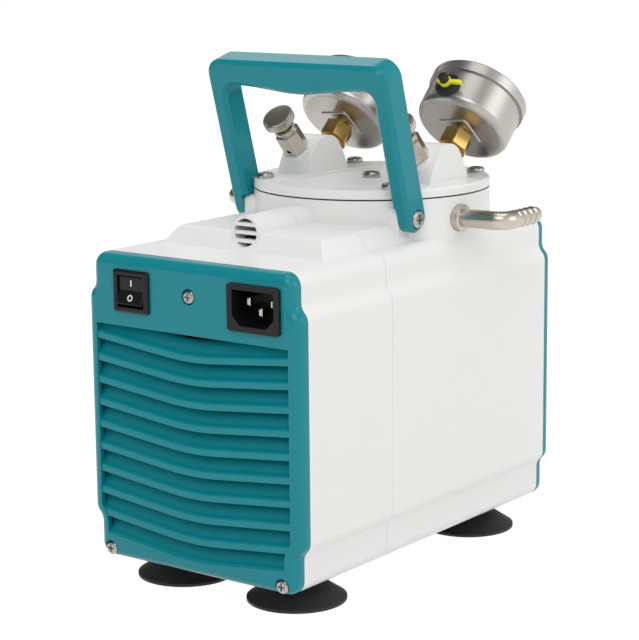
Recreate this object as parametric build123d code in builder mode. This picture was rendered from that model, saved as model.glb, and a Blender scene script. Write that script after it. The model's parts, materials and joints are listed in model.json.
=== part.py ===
from build123d import *
import os
from math import cos, radians, sin

# Oil-free diaphragm vacuum pump, in millimetres.
# Frame: +Z up, +X to the right as seen from the front, the front cover faces -Y.
# The origin is on the floor under the middle of the casing.

# ---------------------------------------------------------------- driving dimensions
casing_width = 130.0          # across the wide middle of the casing
band_step = 3.8               # the bands at top and bottom are this much narrower on each side
casing_length = 222.0         # over both covers
casing_base = 13.8            # underside of the casing above the floor
casing_top = 166.5            # the deck
wall = 3.0
outline_radius = 7.0          # corners of the casing, seen from the front
low_band_top = 30.5           # where the lower band starts to widen
high_band_base = 152.5        # where the casing has narrowed again
band_blend = 9.0              # height of each widening
parting_y = -37.0             # joint of the two housings
parting_gap = 0.2

cover_depth = 7.5
cover_edge_radius = 5.5
cover_wall = 2.6
field_margin = 6.2            # from the casing's outline to the louvre field
field_top = 131.7
field_base = 26.6             # louvre field's lower edge at the sides
chevron_drop = 5.4            # how far each blade dips in the middle
chevron_round = 15.0          # half width of the rounded middle
blade_count = 10              # the lowest closes the field as a sill
blade_pitch = 11.15
blade_first = 124.2           # underside of the top blade at the sides
blade_lip = 2.8               # height of the blade's front strip
blade_rise = 7.2              # how far it climbs inwards
blade_wall = 1.5

block_width = 101.0           # raised block on the deck, at its foot
block_front = -71.0
block_height = 8.5
block_taper = 37.0
vent_radius = 8.4             # round breather duct on the front of the block
vent_grille = 6.9             # circle that its slots fill
vent_slots = 4
vent_slot = 2.3
vent_pitch = 4.0

head_y = 37.2                 # axis of the diaphragm chamber
head_seat = 186.4             # top of the housing's round wall
chamber_wall = 11.2           # from the chamber's bore to the outside
ledge_height = 4.0
rim_z = 166.0                 # underside of the clamped diaphragm
diaphragm_thickness = 2.0
throat_radius = 40.0
gasket_thickness = 0.8
head_thickness = 4.6
head_edge_radius = 1.6
head_screw_inset = 5.8        # from the head's edge to its screws
head_screw_radius = 2.5
pocket_depth = 1.2            # shallow pocket of the head plate between the towers

clamp_radius = 22.0           # disc that clamps the diaphragm's middle
clamp_thickness = 2.5
valve_port_x = 26.0
passage_x = 41.0
port_width = 26.0             # gas pockets in the valve block
port_depth = 30.0
pocket_floor = 5.0

tower_x = 38.0
tower_width = 20.0
tower_depth = 35.0
tower_height = 20.2

valve_tilt = 42.0             # regulator axis from vertical, towards the front
valve_seat_y = 23.1
valve_seat_z = 204.8
valve_hex = 12.0              # across flats
valve_hex_length = 12.5
valve_neck_radius = 5.2
valve_neck_length = 3.4
valve_bore_radius = 3.2
stem_radius = 2.6
knob_radius = 8.5
knob_rim = 4.6
knob_hub_length = 2.6
knob_gap = 1.4                # closed valve: knob above the neck
knob_flutes = 36
thread_pitch = 0.75           # the knob climbs this much for each turn

gauge_tilt = 45.0             # gauge axis from vertical, towards the rear
gauge_back_y = 63.5
gauge_back_z = 214.6
gauge_radius = 25.0
gauge_case_depth = 19.6
gauge_bezel_radius = 26.2
gauge_bezel_depth = 6.6
gauge_shell = 1.2
gauge_seat = 18.2             # from the tower's seat to the gauge's back
gauge_hex = 14.0
gauge_hex_length = 9.5
plug_radius = 6.5             # rubber pressure-relief plug on the gauge
plug_height = 2.6
plug_offset = 8.4             # from the gauge's back

elbow_y = 28.5
elbow_z = 175.4
elbow_reach = 86.5            # centre line of the barbed tail from the middle
elbow_radius = 4.65
elbow_bore_radius = 2.6
elbow_tail = 29.6             # from the bend's corner to the end of the tail
collar_radius = 6.7
barb_count = 4

handle_outer = 55.5           # half width over the legs
handle_inner = 45.8           # half width between the legs
handle_depth = 15.6
handle_lean = 15.85           # degrees forward
handle_foot_y = -1.2
handle_foot_z = 178.7
handle_rise = 80.05           # from the foot's centre to the top of the grip
grip_height = 13.4
grip_swell = 3.2
handle_chamfer = 2.0
handle_corner = 9.0
lug_face = 48.4               # the lug's side, on which the leg bears
lug_top = 183.0
lug_front = -8.0
lug_screw_y = -1.3
lug_screw_z = 177.6
handle_thread_radius = 2.5
handle_thread_depth = 6.5
seat_gap = 0.15
handle_screw_head = 4.5
handle_screw_recess = 1.6
grip_straight = 40.0          # half width of the grip's swelling

foot_x = 34.9
foot_y = 75.6
foot_radius = 24.5

switch_x = -35.0
switch_z = 149.2
switch_bezel = (22.2, 20.6)
switch_opening = (16.2, 15.4)
switch_proud = 1.8
rocker_tilt = 8.0             # the rocker lies this far to either side
inlet_x = 39.8
inlet_z = 148.6
inlet_bezel = (30.6, 22.4)
inlet_proud = 1.6
inlet_cavity = (24.4, 16.8)
inlet_cavity_depth = 16.0

cover_screw_x = 53.4
cover_screw_low = 18.3
cover_screw_high = 150.1
cover_screw_head = 3.4
cover_thread = 1.6
screw_recess = 1.8

shaft_z = 88.0
shaft_radius = 5.0
stator_radius = 52.0
stator_bore = 26.5
motor_setback = 39.0          # from the front cover's face to the stator
stator_length = 50.0
air_gap = 0.5
bolt_circle = 48.5
bolt_radius = 2.1
bracket_screw_inset = 3.5     # from the casing's inside to the bracket's screws
bracket_screw_z = 25.0
window_circle = 30.0
window_radius = 9.0
hub_radius = 17.0
bulkhead_gap = 12.0           # from the stator to the motor's rear bracket
bracket_plate = 4.0           # thickness of the motor's brackets
rib_depth = 4.0               # rib that carries the rear bracket
fan_setback = 10.0            # from the front cover's face to the fan
fan_width = 8.5
fan_radius = 46.0
fan_hub = 12.0
crank_half = 7.5              # half length of the eccentric
rod_half = 6.0                # half thickness of the rod's big end
eccentricity = 3.0
eccentric_radius = 10.0
rod_bearing_radius = 17.0
bearing_radius = 13.0
bearing_width = 8.0
clamp_hole = 3.2              # hole in the diaphragm's middle
clamp_stem = 3.0
rod_disc = 3.0
rod_width = 16.0
rod_depth = 10.0
counterweight_radius = 26.0
counterweight_width = 8.0
can_x = -26.0                 # run capacitor on the floor behind the motor
can_radius = 17.5
can_start = 12.0
can_end = 67.0
foot_stud = 2.5
cup_roof = 7.5
elbow_inner = 44.0
barb_core = 3.9
collar_stand = 2.4            # the hose collars stand out from the head's wall
valve_hex_turn = 0.0
bleed_height = 3.2            # small cross hole of the regulator
bleed_radius = 1.2
gauge_neck = 4.5
gauge_neck_length = 3.0
gauge_hex_turn = 0.0
bourdon_radius = 16.0
spindle_radius = 0.9
plug_stem = 3.0
lever_reach = 10.0
switch_depth = 20.0
rocker_depth = 2.5            # the rocker's pivot behind the cover's face
rocker_half = 6.9
inlet_depth = 18.0
inlet_corner = 4.5
pin_setback = 4.0
pin_places = ((-7.0, 2.2), (7.0, 2.2), (0.0, -2.2))
running = 0.05                # radial clearance of a running fit
clear = 0.3                   # general clearance of moving pieces

# ---------------------------------------------------------------- worked-out places
half_length = casing_length / 2
shell_end = half_length - cover_depth
band_width = casing_width - 2 * band_step
head_radius = band_width / 2
chamber_radius = head_radius - chamber_wall
head_screw_circle = head_radius - head_screw_inset
collar_end = head_radius + collar_stand
plate_z = head_seat + gasket_thickness
plate_top = plate_z + head_thickness
tower_base = plate_top - 1.2
stator_front = motor_setback - half_length
stator_rear = stator_front + stator_length
bulkhead_y = stator_rear + bulkhead_gap
bracket_screw_x = casing_width / 2 - wall - bracket_screw_inset
fan_front = fan_setback - half_length
fan_rear = fan_front + fan_width
rest_crank_z = shaft_z - eccentricity
rest_middle_z = rim_z - eccentricity        # underside of the diaphragm's middle, lowest point
clamp_z = rest_middle_z + diaphragm_thickness
clamp_roof = clamp_z + clamp_thickness + 2 * eccentricity + 0.7


os.makedirs("parts", exist_ok=True)


def facing(y):
    """Plane across the casing at y. Its local x is +X, its local y is +Z, it faces the front."""
    return Plane.XZ.offset(-y)


def tilted(x, y, z, tilt):
    """Plane at a point whose normal leans by tilt degrees from +Z towards the rear."""
    return Plane(origin=(x, y, z), x_dir=(1, 0, 0),
                 z_dir=(0, sin(radians(tilt)), cos(radians(tilt))))


def save(part, name):
    part.label = name
    export_step(part, f"parts/{name}.step")


def casing_outline(plane, inset=0.0):
    """The casing seen from the front: narrow bands, wide middle, rounded corners."""
    narrow = band_width / 2
    wide = casing_width / 2
    low = (narrow, low_band_top)
    low_wide = (wide, low_band_top + band_blend)
    high_wide = (wide, high_band_base - band_blend)
    high = (narrow, high_band_base)
    with BuildSketch(plane) as outline:
        with BuildLine():
            corner = outline_radius
            Line((0, casing_base), (narrow - corner, casing_base))
            CenterArc((narrow - corner, casing_base + corner), corner, -90, 90)
            Line((narrow, casing_base + corner), low)
            blend_curve(low, low_wide)
            Line(low_wide, high_wide)
            blend_curve(high, high_wide)
            Line(high, (narrow, casing_top - corner))
            CenterArc((narrow - corner, casing_top - corner), corner, 0, 90)
            Line((narrow - corner, casing_top), (0, casing_top))
            mirror(about=Plane.YZ)
        make_face()
        if inset:
            offset(amount=-inset)
    return outline.sketch


def blend_curve(narrow_point, wide_point):
    """Two equal arcs, upright where they meet the straight sides."""
    middle = ((narrow_point[0] + wide_point[0]) / 2, (narrow_point[1] + wide_point[1]) / 2)
    away = 1 if wide_point[1] > narrow_point[1] else -1
    TangentArc(narrow_point, middle, tangent=(0, away))
    TangentArc(wide_point, middle, tangent=(0, -away))


# ---------------------------------------------------------------- housings
def deck_block():
    """Raised block in front of the diaphragm chamber, with the breather's round duct."""
    length = head_y - block_front
    with BuildPart() as block:
        with BuildSketch(Plane.XY.offset(casing_top)):
            with Locations((0, block_front + length / 2)):
                Rectangle(block_width, length)
        extrude(amount=block_height, taper=block_taper)
        upper = block.edges().filter_by(lambda e: e.center().Z > casing_top + 1)
        fillet(upper, radius=2.0)
        with BuildSketch(facing(block_front + 3.5)):
            with Locations((0, casing_top + block_height)):
                Circle(vent_radius)
        extrude(amount=-(length - 20))
    return block.part


def block_hollow():
    """Space under the block and inside its duct."""
    length = head_y - block_front - 2 * wall
    with BuildPart() as hollow:
        with BuildSketch(Plane.XY.offset(casing_top - wall - 1)):
            with Locations((0, block_front + wall + length / 2)):
                Rectangle(block_width - 3 * wall, length)
        extrude(amount=block_height + 1, taper=block_taper)
        with BuildSketch(facing(block_front + 3.5 + wall)):
            with Locations((0, casing_top + block_height)):
                Circle(vent_radius - 2.2)
        extrude(amount=-(length - 32))
    return hollow.part


with BuildPart() as casing:
    extrude(casing_outline(facing(-shell_end)), amount=-2 * shell_end)
    add(deck_block())
    with BuildSketch(Plane.XY.offset(casing_top - 8)):
        with Locations((0, head_y)):
            Circle(head_radius)
    extrude(amount=head_seat - casing_top + 8)
    # lugs that carry the handle, one on each side in front of the chamber
    lug_back = handle_foot_y + handle_depth / 2
    with BuildSketch(Plane.XY.offset(casing_top - 1)):
        for side in (-1, 1):
            with Locations((side * (lug_face - 6), (lug_front + lug_back) / 2)):
                Rectangle(12, lug_back - lug_front)
    extrude(amount=lug_top - casing_top + 1)
    lug_tops = casing.edges().filter_by(Axis.X).filter_by(
        lambda e: abs(e.center().Z - lug_top) < 0.01 and abs(e.center().Y - lug_front) < 0.01)
    fillet(lug_tops, radius=3.0)
    # hollow inside, open at both ends
    extrude(casing_outline(facing(-shell_end), wall), amount=-2 * shell_end, mode=Mode.SUBTRACT)
    add(block_hollow(), mode=Mode.SUBTRACT)
    # chamber: ledge, bore and throat
    with BuildSketch(Plane.XY.offset(rim_z - ledge_height)):
        with Locations((0, head_y)):
            Circle(head_radius - wall)
    extrude(amount=ledge_height + 1)
    with BuildSketch(Plane.XY.offset(rim_z)):
        with Locations((0, head_y)):
            Circle(head_radius)
            Circle(chamber_radius, mode=Mode.SUBTRACT)
    extrude(amount=head_seat - rim_z)
    with BuildSketch(Plane.XY.offset(rim_z)):
        with Locations((0, head_y)):
            Circle(chamber_radius)
    extrude(amount=head_seat - rim_z, mode=Mode.SUBTRACT)
    with BuildSketch(Plane.XY.offset(rim_z - ledge_height)):
        with Locations((0, head_y)):
            Circle(throat_radius)
    extrude(amount=ledge_height, mode=Mode.SUBTRACT)
    # rib that the motor's rear bracket is bolted to
    rib_front = facing(bulkhead_y + bracket_plate)
    extrude(casing_outline(rib_front, wall), amount=-rib_depth)
    extrude(casing_outline(rib_front, wall + 2 * bracket_screw_inset), amount=-rib_depth,
            mode=Mode.SUBTRACT)
    with BuildSketch(rib_front):
        with Locations((0, shaft_z)):
            with GridLocations(2 * bracket_screw_x, 2 * bracket_screw_z, 2, 2):
                Circle(1.6)
    extrude(amount=-rib_depth, mode=Mode.SUBTRACT)
    # bosses for the cover screws, three at each end
    for end in (-1, 1):
        with BuildSketch(facing(end * shell_end)):
            with Locations((-cover_screw_x, cover_screw_low), (cover_screw_x, cover_screw_low)):
                Circle(4.2)
            with Locations((0, (cover_screw_high - 4.5 + casing_top - 1) / 2)):
                Rectangle(9, casing_top - 1 - cover_screw_high + 4.5)
        extrude(amount=end * 14)
        with BuildSketch(facing(end * shell_end)):
            with Locations((-cover_screw_x, cover_screw_low), (cover_screw_x, cover_screw_low),
                           (0, cover_screw_high)):
                Circle(1.7)
        extrude(amount=end * 12, mode=Mode.SUBTRACT)
    # breather slots, cut through the duct's front wall
    with BuildSketch(facing(block_front)):
        with Locations((0, casing_top + block_height)):
            with GridLocations(0, vent_pitch, 1, vent_slots):
                Rectangle(2 * vent_radius, vent_slot)
            Circle(vent_grille, mode=Mode.INTERSECT)
    extrude(amount=-12, mode=Mode.SUBTRACT)
    # holes for hose elbows, handle screws, head screws and foot studs
    with BuildSketch(Plane.YZ):
        with Locations((elbow_y, elbow_z)):
            Circle(collar_radius + 0.15)
    extrude(amount=casing_width / 2, both=True, mode=Mode.SUBTRACT)
    for side in (-1, 1):
        with BuildSketch(Plane.YZ.offset(side * handle_outer)):
            with Locations((lug_screw_y, lug_screw_z)):
                Circle(handle_thread_radius)
        extrude(amount=-side * (handle_outer - lug_face + handle_thread_depth),
                mode=Mode.SUBTRACT)
    with BuildSketch(Plane.XY.offset(head_seat)):
        with Locations((0, head_y)):
            with PolarLocations(head_screw_circle, 4, start_angle=45):
                Circle(head_screw_radius)
    extrude(amount=-8, mode=Mode.SUBTRACT)
    with BuildSketch(Plane.XY.offset(casing_base)):
        with GridLocations(2 * foot_x, 2 * foot_y, 2, 2):
            Circle(2.6)
    extrude(amount=wall, mode=Mode.SUBTRACT)

for name, keep in (("front_housing", Keep.TOP), ("rear_housing", Keep.BOTTOM)):
    towards = -1 if keep == Keep.TOP else 1
    with BuildPart() as housing:
        add(casing.part)
        split(bisect_by=facing(parting_y + towards * parting_gap / 2), keep=keep)
    save(housing.part, name)


# ---------------------------------------------------------------- louvred covers
def chevron(z, half_width):
    """Path of a blade: down to the middle and up again, with a rounded middle."""
    slope = chevron_drop / (half_width - chevron_round / 2)
    near = z - slope * (half_width - chevron_round)
    with BuildLine(facing(0)) as path:
        Line((-half_width, z), (-chevron_round, near))
        TangentArc((-chevron_round, near), (chevron_round, near), tangent=(1, -slope))
        Line((chevron_round, near), (half_width, z))
    return path.wire()


def louvre_blade(z, front_y):
    """Front strip that turns inwards and climbs to the back of the cover."""
    half_width = casing_width / 2 - field_margin + 1
    depth = cover_depth - 0.9
    with BuildPart() as blade:
        path = chevron(z, half_width).moved(Location((0, front_y, 0)))
        with BuildSketch(Plane.YZ.offset(-half_width)):
            with BuildLine():
                front = front_y + 0.5
                back = front_y + depth
                Line((front, z), (front, z + blade_lip))
                Spline((front, z + blade_lip), (front + 1.6, z + blade_lip + 1.4),
                       (back, z + blade_lip + blade_rise), tangents=((0.3, 1), (1, 0.55)))
                Line((back, z + blade_lip + blade_rise), (back, z + blade_lip + blade_rise - blade_wall))
                Line((back, z + blade_lip + blade_rise - blade_wall), (front + blade_wall, z))
                Line((front + blade_wall, z), (front, z))
            make_face()
        sweep(path=path, is_frenet=False, transition=Transition.TRANSFORMED)
    return blade.part


def louvre_field(plane):
    """Outline of the opening that the blades cross."""
    base = casing_outline(plane, field_margin)
    middle = field_base - chevron_drop
    with BuildSketch(plane) as field:
        add(base)
        with BuildSketch(mode=Mode.INTERSECT):
            with BuildLine():
                edge = casing_width
                slope = chevron_drop / (casing_width / 2 - field_margin - chevron_round / 2)
                near = middle + slope * chevron_round / 2
                Polyline((-chevron_round, near), (-edge, near + slope * (edge - chevron_round)),
                         (-edge, field_top), (edge, field_top),
                         (edge, near + slope * (edge - chevron_round)), (chevron_round, near))
                TangentArc((chevron_round, near), (-chevron_round, near), tangent=(-1, -slope))
            make_face()
    return field.sketch


def cover_screw_seats(front_y):
    """Through holes and recessed seats for the three cover screws."""
    with BuildSketch(facing(front_y)) as seats:
        with Locations((-cover_screw_x, cover_screw_low), (cover_screw_x, cover_screw_low),
                       (0, cover_screw_high)):
            Circle(cover_screw_head + 0.5)
    extrude(seats.sketch, amount=-screw_recess, mode=Mode.SUBTRACT)
    with BuildSketch(facing(front_y)) as holes:
        with Locations((-cover_screw_x, cover_screw_low), (cover_screw_x, cover_screw_low),
                       (0, cover_screw_high)):
            Circle(cover_thread + 0.2)
    extrude(holes.sketch, amount=-cover_depth, mode=Mode.SUBTRACT)


def cover(front_y):
    """Moulded end cover without its cut-outs; its face is at front_y and looks to -Y."""
    with BuildPart() as shell:
        extrude(casing_outline(facing(front_y)), amount=-cover_depth)
        rim = shell.faces().sort_by(Axis.Y)[0].edges()
        fillet(rim, radius=cover_edge_radius)
        extrude(casing_outline(facing(front_y + cover_wall), cover_wall), amount=-cover_depth,
                mode=Mode.SUBTRACT)
        extrude(louvre_field(facing(front_y)), amount=-cover_depth, mode=Mode.SUBTRACT)
        with BuildPart(mode=Mode.PRIVATE) as blades:
            for index in range(blade_count):
                add(louvre_blade(blade_first - index * blade_pitch, front_y))
            extrude(casing_outline(facing(front_y), field_margin - 1), amount=-cover_depth,
                    mode=Mode.INTERSECT)
        add(blades.part)
    return shell.part


with BuildPart() as front_cover:
    add(cover(-half_length))
    with BuildSketch(facing(-half_length - 1)):
        with Locations((switch_x, switch_z)):
            Rectangle(switch_opening[0] + 3, switch_opening[1] + 3)
        with Locations((inlet_x, inlet_z)):
            Rectangle(inlet_cavity[0] + 3, inlet_cavity[1] + 3)
    extrude(amount=-cover_depth, mode=Mode.SUBTRACT)
    cover_screw_seats(-half_length)
save(front_cover.part, "front_cover")

with BuildPart() as rear_cover:
    add(cover(-half_length))
    cover_screw_seats(-half_length)
save(rear_cover.part.rotate(Axis.Z, 180), "rear_cover")


# ---------------------------------------------------------------- fasteners
def pan_screw(seat, shank_radius, length, head_radius, head_height):
    """Cross-recessed pan head screw; the seat plane's normal points out of the head."""
    slot = head_radius * 0.28
    with BuildPart(seat) as screw:
        Cylinder(shank_radius, length, align=(Align.CENTER, Align.CENTER, Align.MAX))
        Cylinder(head_radius, head_height, align=(Align.CENTER, Align.CENTER, Align.MIN))
        top = screw.faces().sort_by(lambda f: seat.to_local_coords(f.center()).Z)[-1]
        fillet(top.edges(), radius=head_height * 0.6)
        with Locations((0, 0, head_height)):
            Box(slot * 4, slot, head_height * 1.2, mode=Mode.SUBTRACT)
            Box(slot, slot * 4, head_height * 1.2, mode=Mode.SUBTRACT)
    return screw.part


def group(parts):
    """Several separate solids in one node."""
    return Compound(children=list(parts))


cover_seat = half_length - screw_recess
cover_screws = []
for end in (-1, 1):
    for x, z in ((-cover_screw_x, cover_screw_low), (cover_screw_x, cover_screw_low),
                 (0, cover_screw_high)):
        outward = Plane(origin=(x, end * cover_seat, z), x_dir=(1, 0, 0), z_dir=(0, end, 0))
        cover_screws.append(pan_screw(outward, cover_thread, 14, cover_screw_head, 2.2))
save(group(cover_screws), "cover_screws")

head_screws = []
for index in range(4):
    angle = radians(45 + 90 * index)
    seat = Plane(origin=(head_screw_circle * cos(angle), head_y + head_screw_circle * sin(angle),
                         plate_top))
    head_screws.append(pan_screw(seat, head_screw_radius - 0.1, 12, 4.4, 2.8))
head_screws.append(pan_screw(Plane(origin=(0, head_y, plate_top - pocket_depth)),
                             head_screw_radius - 0.1, 12, 4.8, 3.0))
save(group(head_screws), "head_screws")

handle_screws = []
for side in (-1, 1):
    seat = Plane(origin=(side * (handle_outer - handle_screw_recess), lug_screw_y, lug_screw_z),
                 x_dir=(0, 1, 0), z_dir=(side, 0, 0))
    handle_screws.append(pan_screw(seat, handle_thread_radius - 0.1, 11.5, handle_screw_head, 2.6))
save(group(handle_screws), "handle_screws")

# ---------------------------------------------------------------- handle
lean = Plane(origin=(0, handle_foot_y, handle_foot_z), x_dir=(1, 0, 0),
             z_dir=(0, -cos(radians(handle_lean)), -sin(radians(handle_lean))))


def at_corner(edge, half_width, height):
    """True for an edge through the bail's thickness at this place in its own plane."""
    place = lean.to_local_coords(edge.center())
    return abs(abs(place.X) - half_width) < 0.01 and abs(place.Y - height) < 0.01


def lies_on_side(edge, half_depth):
    """True for an edge along the bail's front or rear outline."""
    ends = [lean.to_local_coords(edge @ t).Z for t in (0, 0.5, 1)]
    return all(abs(abs(depth) - half_depth) < 0.01 for depth in ends)


with BuildPart() as handle:
    foot = handle_depth / 2
    under = handle_rise - grip_height
    with BuildSketch(lean):
        with BuildLine():
            Polyline((-grip_straight, under), (-handle_inner, under), (-handle_inner, -foot),
                     (-handle_outer, -foot), (-handle_outer, handle_rise),
                     (handle_outer, handle_rise), (handle_outer, -foot),
                     (handle_inner, -foot), (handle_inner, under), (grip_straight, under))
            Spline((grip_straight, under), (0, under - grip_swell), (-grip_straight, under),
                   tangents=((-1, 0), (-1, 0)))
        make_face()
    extrude(amount=foot, both=True)
    fillet(handle.edges().filter_by(lambda e: at_corner(e, handle_outer, handle_rise)),
           radius=handle_corner)
    fillet(handle.edges().filter_by(lambda e: at_corner(e, handle_inner, under)),
           radius=handle_corner - 3)
    # round feet, seen from the side
    with BuildSketch(Plane(origin=lean.origin, x_dir=lean.z_dir, z_dir=(-1, 0, 0))):
        Circle(foot)
        with Locations((0, handle_rise)):
            Rectangle(handle_depth, 2 * handle_rise)
    extrude(amount=handle_outer, both=True, mode=Mode.INTERSECT)
    chamfer(handle.edges().filter_by(lambda e: lies_on_side(e, foot)), length=handle_chamfer)
    # inner half of each leg ends in a shoulder above the lug
    for side in (-1, 1):
        with BuildSketch(Plane.XY.offset(lug_top + seat_gap)):
            with Locations((side * (lug_face + seat_gap - 5), handle_foot_y)):
                Rectangle(10, 3 * handle_depth)
        extrude(amount=-30, mode=Mode.SUBTRACT)
        outside = Plane(origin=(side * handle_outer, lug_screw_y, lug_screw_z),
                        x_dir=(0, 1, 0), z_dir=(side, 0, 0))
        with BuildSketch(outside):
            Circle(handle_screw_head + 0.4)
        extrude(amount=-handle_screw_recess, mode=Mode.SUBTRACT)
        with BuildSketch(outside):
            Circle(handle_thread_radius + 0.2)
        extrude(amount=-20, mode=Mode.SUBTRACT)
    # relief around the chamber's round wall and the head plate
    with BuildSketch(Plane.XY.offset(plate_top + seat_gap)):
        with Locations((0, head_y)):
            Circle(head_radius + seat_gap)
    extrude(amount=-30, mode=Mode.SUBTRACT)
save(handle.part, "handle")

# ---------------------------------------------------------------- head
def arch(plane, half_depth, height):
    """Rounded gable of a tower, standing on the plane's x axis."""
    with BuildSketch(plane) as outline:
        with BuildLine():
            Spline((half_depth, 0), (half_depth * 0.7, height * 0.6), (0, height),
                   tangents=((-0.15, 1), (-1, 0)))
            mirror(about=Plane.YZ)
            Line((-half_depth, 0), (half_depth, 0))
        make_face()
    return outline.sketch


def valve_plane(side, along=0.0):
    """On the regulator's axis, at a distance from its seat on the tower."""
    return tilted(side * tower_x, valve_seat_y, valve_seat_z, -valve_tilt).offset(along)


def gauge_plane(side, along=0.0):
    """On the gauge's axis, at a distance from the gauge's back."""
    return tilted(side * tower_x, gauge_back_y, gauge_back_z, gauge_tilt).offset(along)


with BuildPart() as head_plate:
    with BuildSketch(Plane.XY.offset(plate_z)):
        with Locations((0, head_y)):
            Circle(head_radius)
    extrude(amount=head_thickness)
    fillet(head_plate.faces().sort_by(Axis.Z)[-1].edges(), radius=head_edge_radius)
    with BuildSketch(Plane.XY.offset(plate_top)):
        with Locations((0, head_y)):
            RectangleRounded(2 * tower_x - tower_width - 6, 2 * head_radius - 26, 6)
    extrude(amount=-pocket_depth, mode=Mode.SUBTRACT)
    for side in (-1, 1):
        extrude(arch(Plane(origin=(side * tower_x - tower_width / 2, head_y, tower_base),
                           x_dir=(0, 1, 0), z_dir=(1, 0, 0)), tower_depth / 2, tower_height),
                amount=tower_width)
        # round bosses whose ends are the seats of the regulator and the gauge
        with BuildSketch(valve_plane(side)):
            Circle(valve_hex / 2 + 1.6)
        extrude(amount=-9)
        with BuildSketch(gauge_plane(side, -gauge_seat)):
            Circle(gauge_hex / 2 + 0.8)
        extrude(amount=-9)
        for seat in (valve_plane(side), gauge_plane(side, -gauge_seat)):
            with BuildSketch(seat):
                Circle(gauge_hex / 2 + 0.8)
            extrude(amount=4, mode=Mode.SUBTRACT)
    for side in (-1, 1):
        with BuildSketch(valve_plane(side)):
            Circle(valve_bore_radius)
        extrude(amount=-17, mode=Mode.SUBTRACT)
        with BuildSketch(gauge_plane(side, -gauge_seat)):
            Circle(valve_bore_radius)
        extrude(amount=-15, mode=Mode.SUBTRACT)
        with BuildSketch(Plane.XY.offset(plate_z)):
            with Locations((side * tower_x, head_y)):
                Circle(2.2)
        extrude(amount=head_thickness + 8, mode=Mode.SUBTRACT)
    with BuildSketch(Plane.XY.offset(plate_z)):
        with Locations((0, head_y)):
            Circle(head_screw_radius + 0.2)
            with PolarLocations(head_screw_circle, 4, start_angle=45):
                Circle(head_screw_radius + 0.2)
    extrude(amount=head_thickness, mode=Mode.SUBTRACT)
save(head_plate.part, "head_plate")

with BuildPart() as head_gasket:
    with BuildSketch(Plane.XY.offset(head_seat)):
        with Locations((0, head_y)):
            Circle(head_radius - 0.4)
            Circle(head_screw_radius + 0.2, mode=Mode.SUBTRACT)
            with PolarLocations(head_screw_circle, 4, start_angle=45):
                Circle(head_screw_radius + 0.2, mode=Mode.SUBTRACT)
            with Locations((-tower_x + port_width / 4, 0), (tower_x - port_width / 4, 0)):
                RectangleRounded(port_width, port_depth, 4, mode=Mode.SUBTRACT)
    extrude(amount=gasket_thickness)
save(head_gasket.part, "head_gasket")

with BuildPart() as valve_block:
    with BuildSketch(Plane.XY.offset(rim_z + diaphragm_thickness)):
        with Locations((0, head_y)):
            Circle(chamber_radius - 0.2)
    extrude(amount=head_seat - rim_z - diaphragm_thickness)
    # dished roof of the pumping chamber
    with BuildSketch(Plane.XY.offset(rim_z + diaphragm_thickness)):
        with Locations((0, head_y)):
            Circle(throat_radius)
    with BuildSketch(Plane.XY.offset(clamp_roof)):
        with Locations((0, head_y)):
            Circle(clamp_radius + eccentricity + 2)
    loft(mode=Mode.SUBTRACT)
    # gas pockets above, with valve ports from the chamber and the elbows' passages
    with BuildSketch(Plane.XY.offset(head_seat)):
        with Locations((0, head_y)):
            with Locations((-tower_x + port_width / 4, 0), (tower_x - port_width / 4, 0)):
                RectangleRounded(port_width, port_depth, 4)
    extrude(amount=-pocket_floor, mode=Mode.SUBTRACT)
    with BuildSketch(Plane.XY.offset(head_seat)):
        with Locations((-valve_port_x, head_y), (valve_port_x, head_y)):
            Circle(3)
    extrude(amount=-(head_seat - rim_z), mode=Mode.SUBTRACT)
    with BuildSketch(Plane.XY.offset(head_seat)):
        with Locations((0, head_y)):
            Circle(head_screw_radius)
        with Locations((-passage_x, elbow_y), (passage_x, elbow_y)):
            Circle(2.5)
    extrude(amount=-(head_seat - elbow_z), mode=Mode.SUBTRACT)
    for side in (-1, 1):
        with BuildSketch(Plane.YZ.offset(side * chamber_radius)):
            with Locations((elbow_y, elbow_z)):
                Circle(elbow_radius)
        extrude(amount=-side * (chamber_radius - passage_x + 3), mode=Mode.SUBTRACT)
save(valve_block.part, "valve_block")

valve_flaps = []
for side in (-1, 1):
    with BuildPart() as flap:
        with BuildSketch(Plane.XY.offset(head_seat - pocket_floor)):
            with Locations((side * valve_port_x, head_y)):
                Circle(5)
        extrude(amount=0.8)
    valve_flaps.append(flap.part)
save(group(valve_flaps), "valve_flaps")


# ---------------------------------------------------------------- turned shapes
def turned(plane, points, arc=360):
    """Solid turned about the plane's normal; points are (radius, distance along it)."""
    with BuildPart() as solid:
        with BuildSketch(Plane(origin=plane.origin, x_dir=plane.x_dir, z_dir=-plane.y_dir)):
            with BuildLine():
                Polyline(*points, close=True)
            make_face()
        revolve(axis=Axis(plane.origin, plane.z_dir), revolution_arc=arc)
    return solid.part


def ring(plane, inner, outer, start, end):
    return turned(plane, ((inner, start), (outer, start), (outer, end), (inner, end)))


def along_y(x, z):
    """Plane whose normal is +Y, so that distances along it are y."""
    return Plane(origin=(x, 0, z), x_dir=(1, 0, 0), z_dir=(0, 1, 0))


shaft_line = along_y(0, shaft_z)
crank_line = along_y(0, rest_crank_z)
head_line = Plane(origin=(0, head_y, 0))

# ---------------------------------------------------------------- diaphragm and crank
rim_top = rim_z + diaphragm_thickness
with BuildPart() as diaphragm:
    add(turned(head_line, ((clamp_hole, rest_middle_z), (clamp_radius + 2, rest_middle_z),
                           (throat_radius - 2, rim_z), (chamber_radius - 0.2, rim_z),
                           (chamber_radius - 0.2, rim_top), (throat_radius - 2, rim_top),
                           (clamp_radius, clamp_z), (clamp_hole, clamp_z))))
save(diaphragm.part, "diaphragm")

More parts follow.
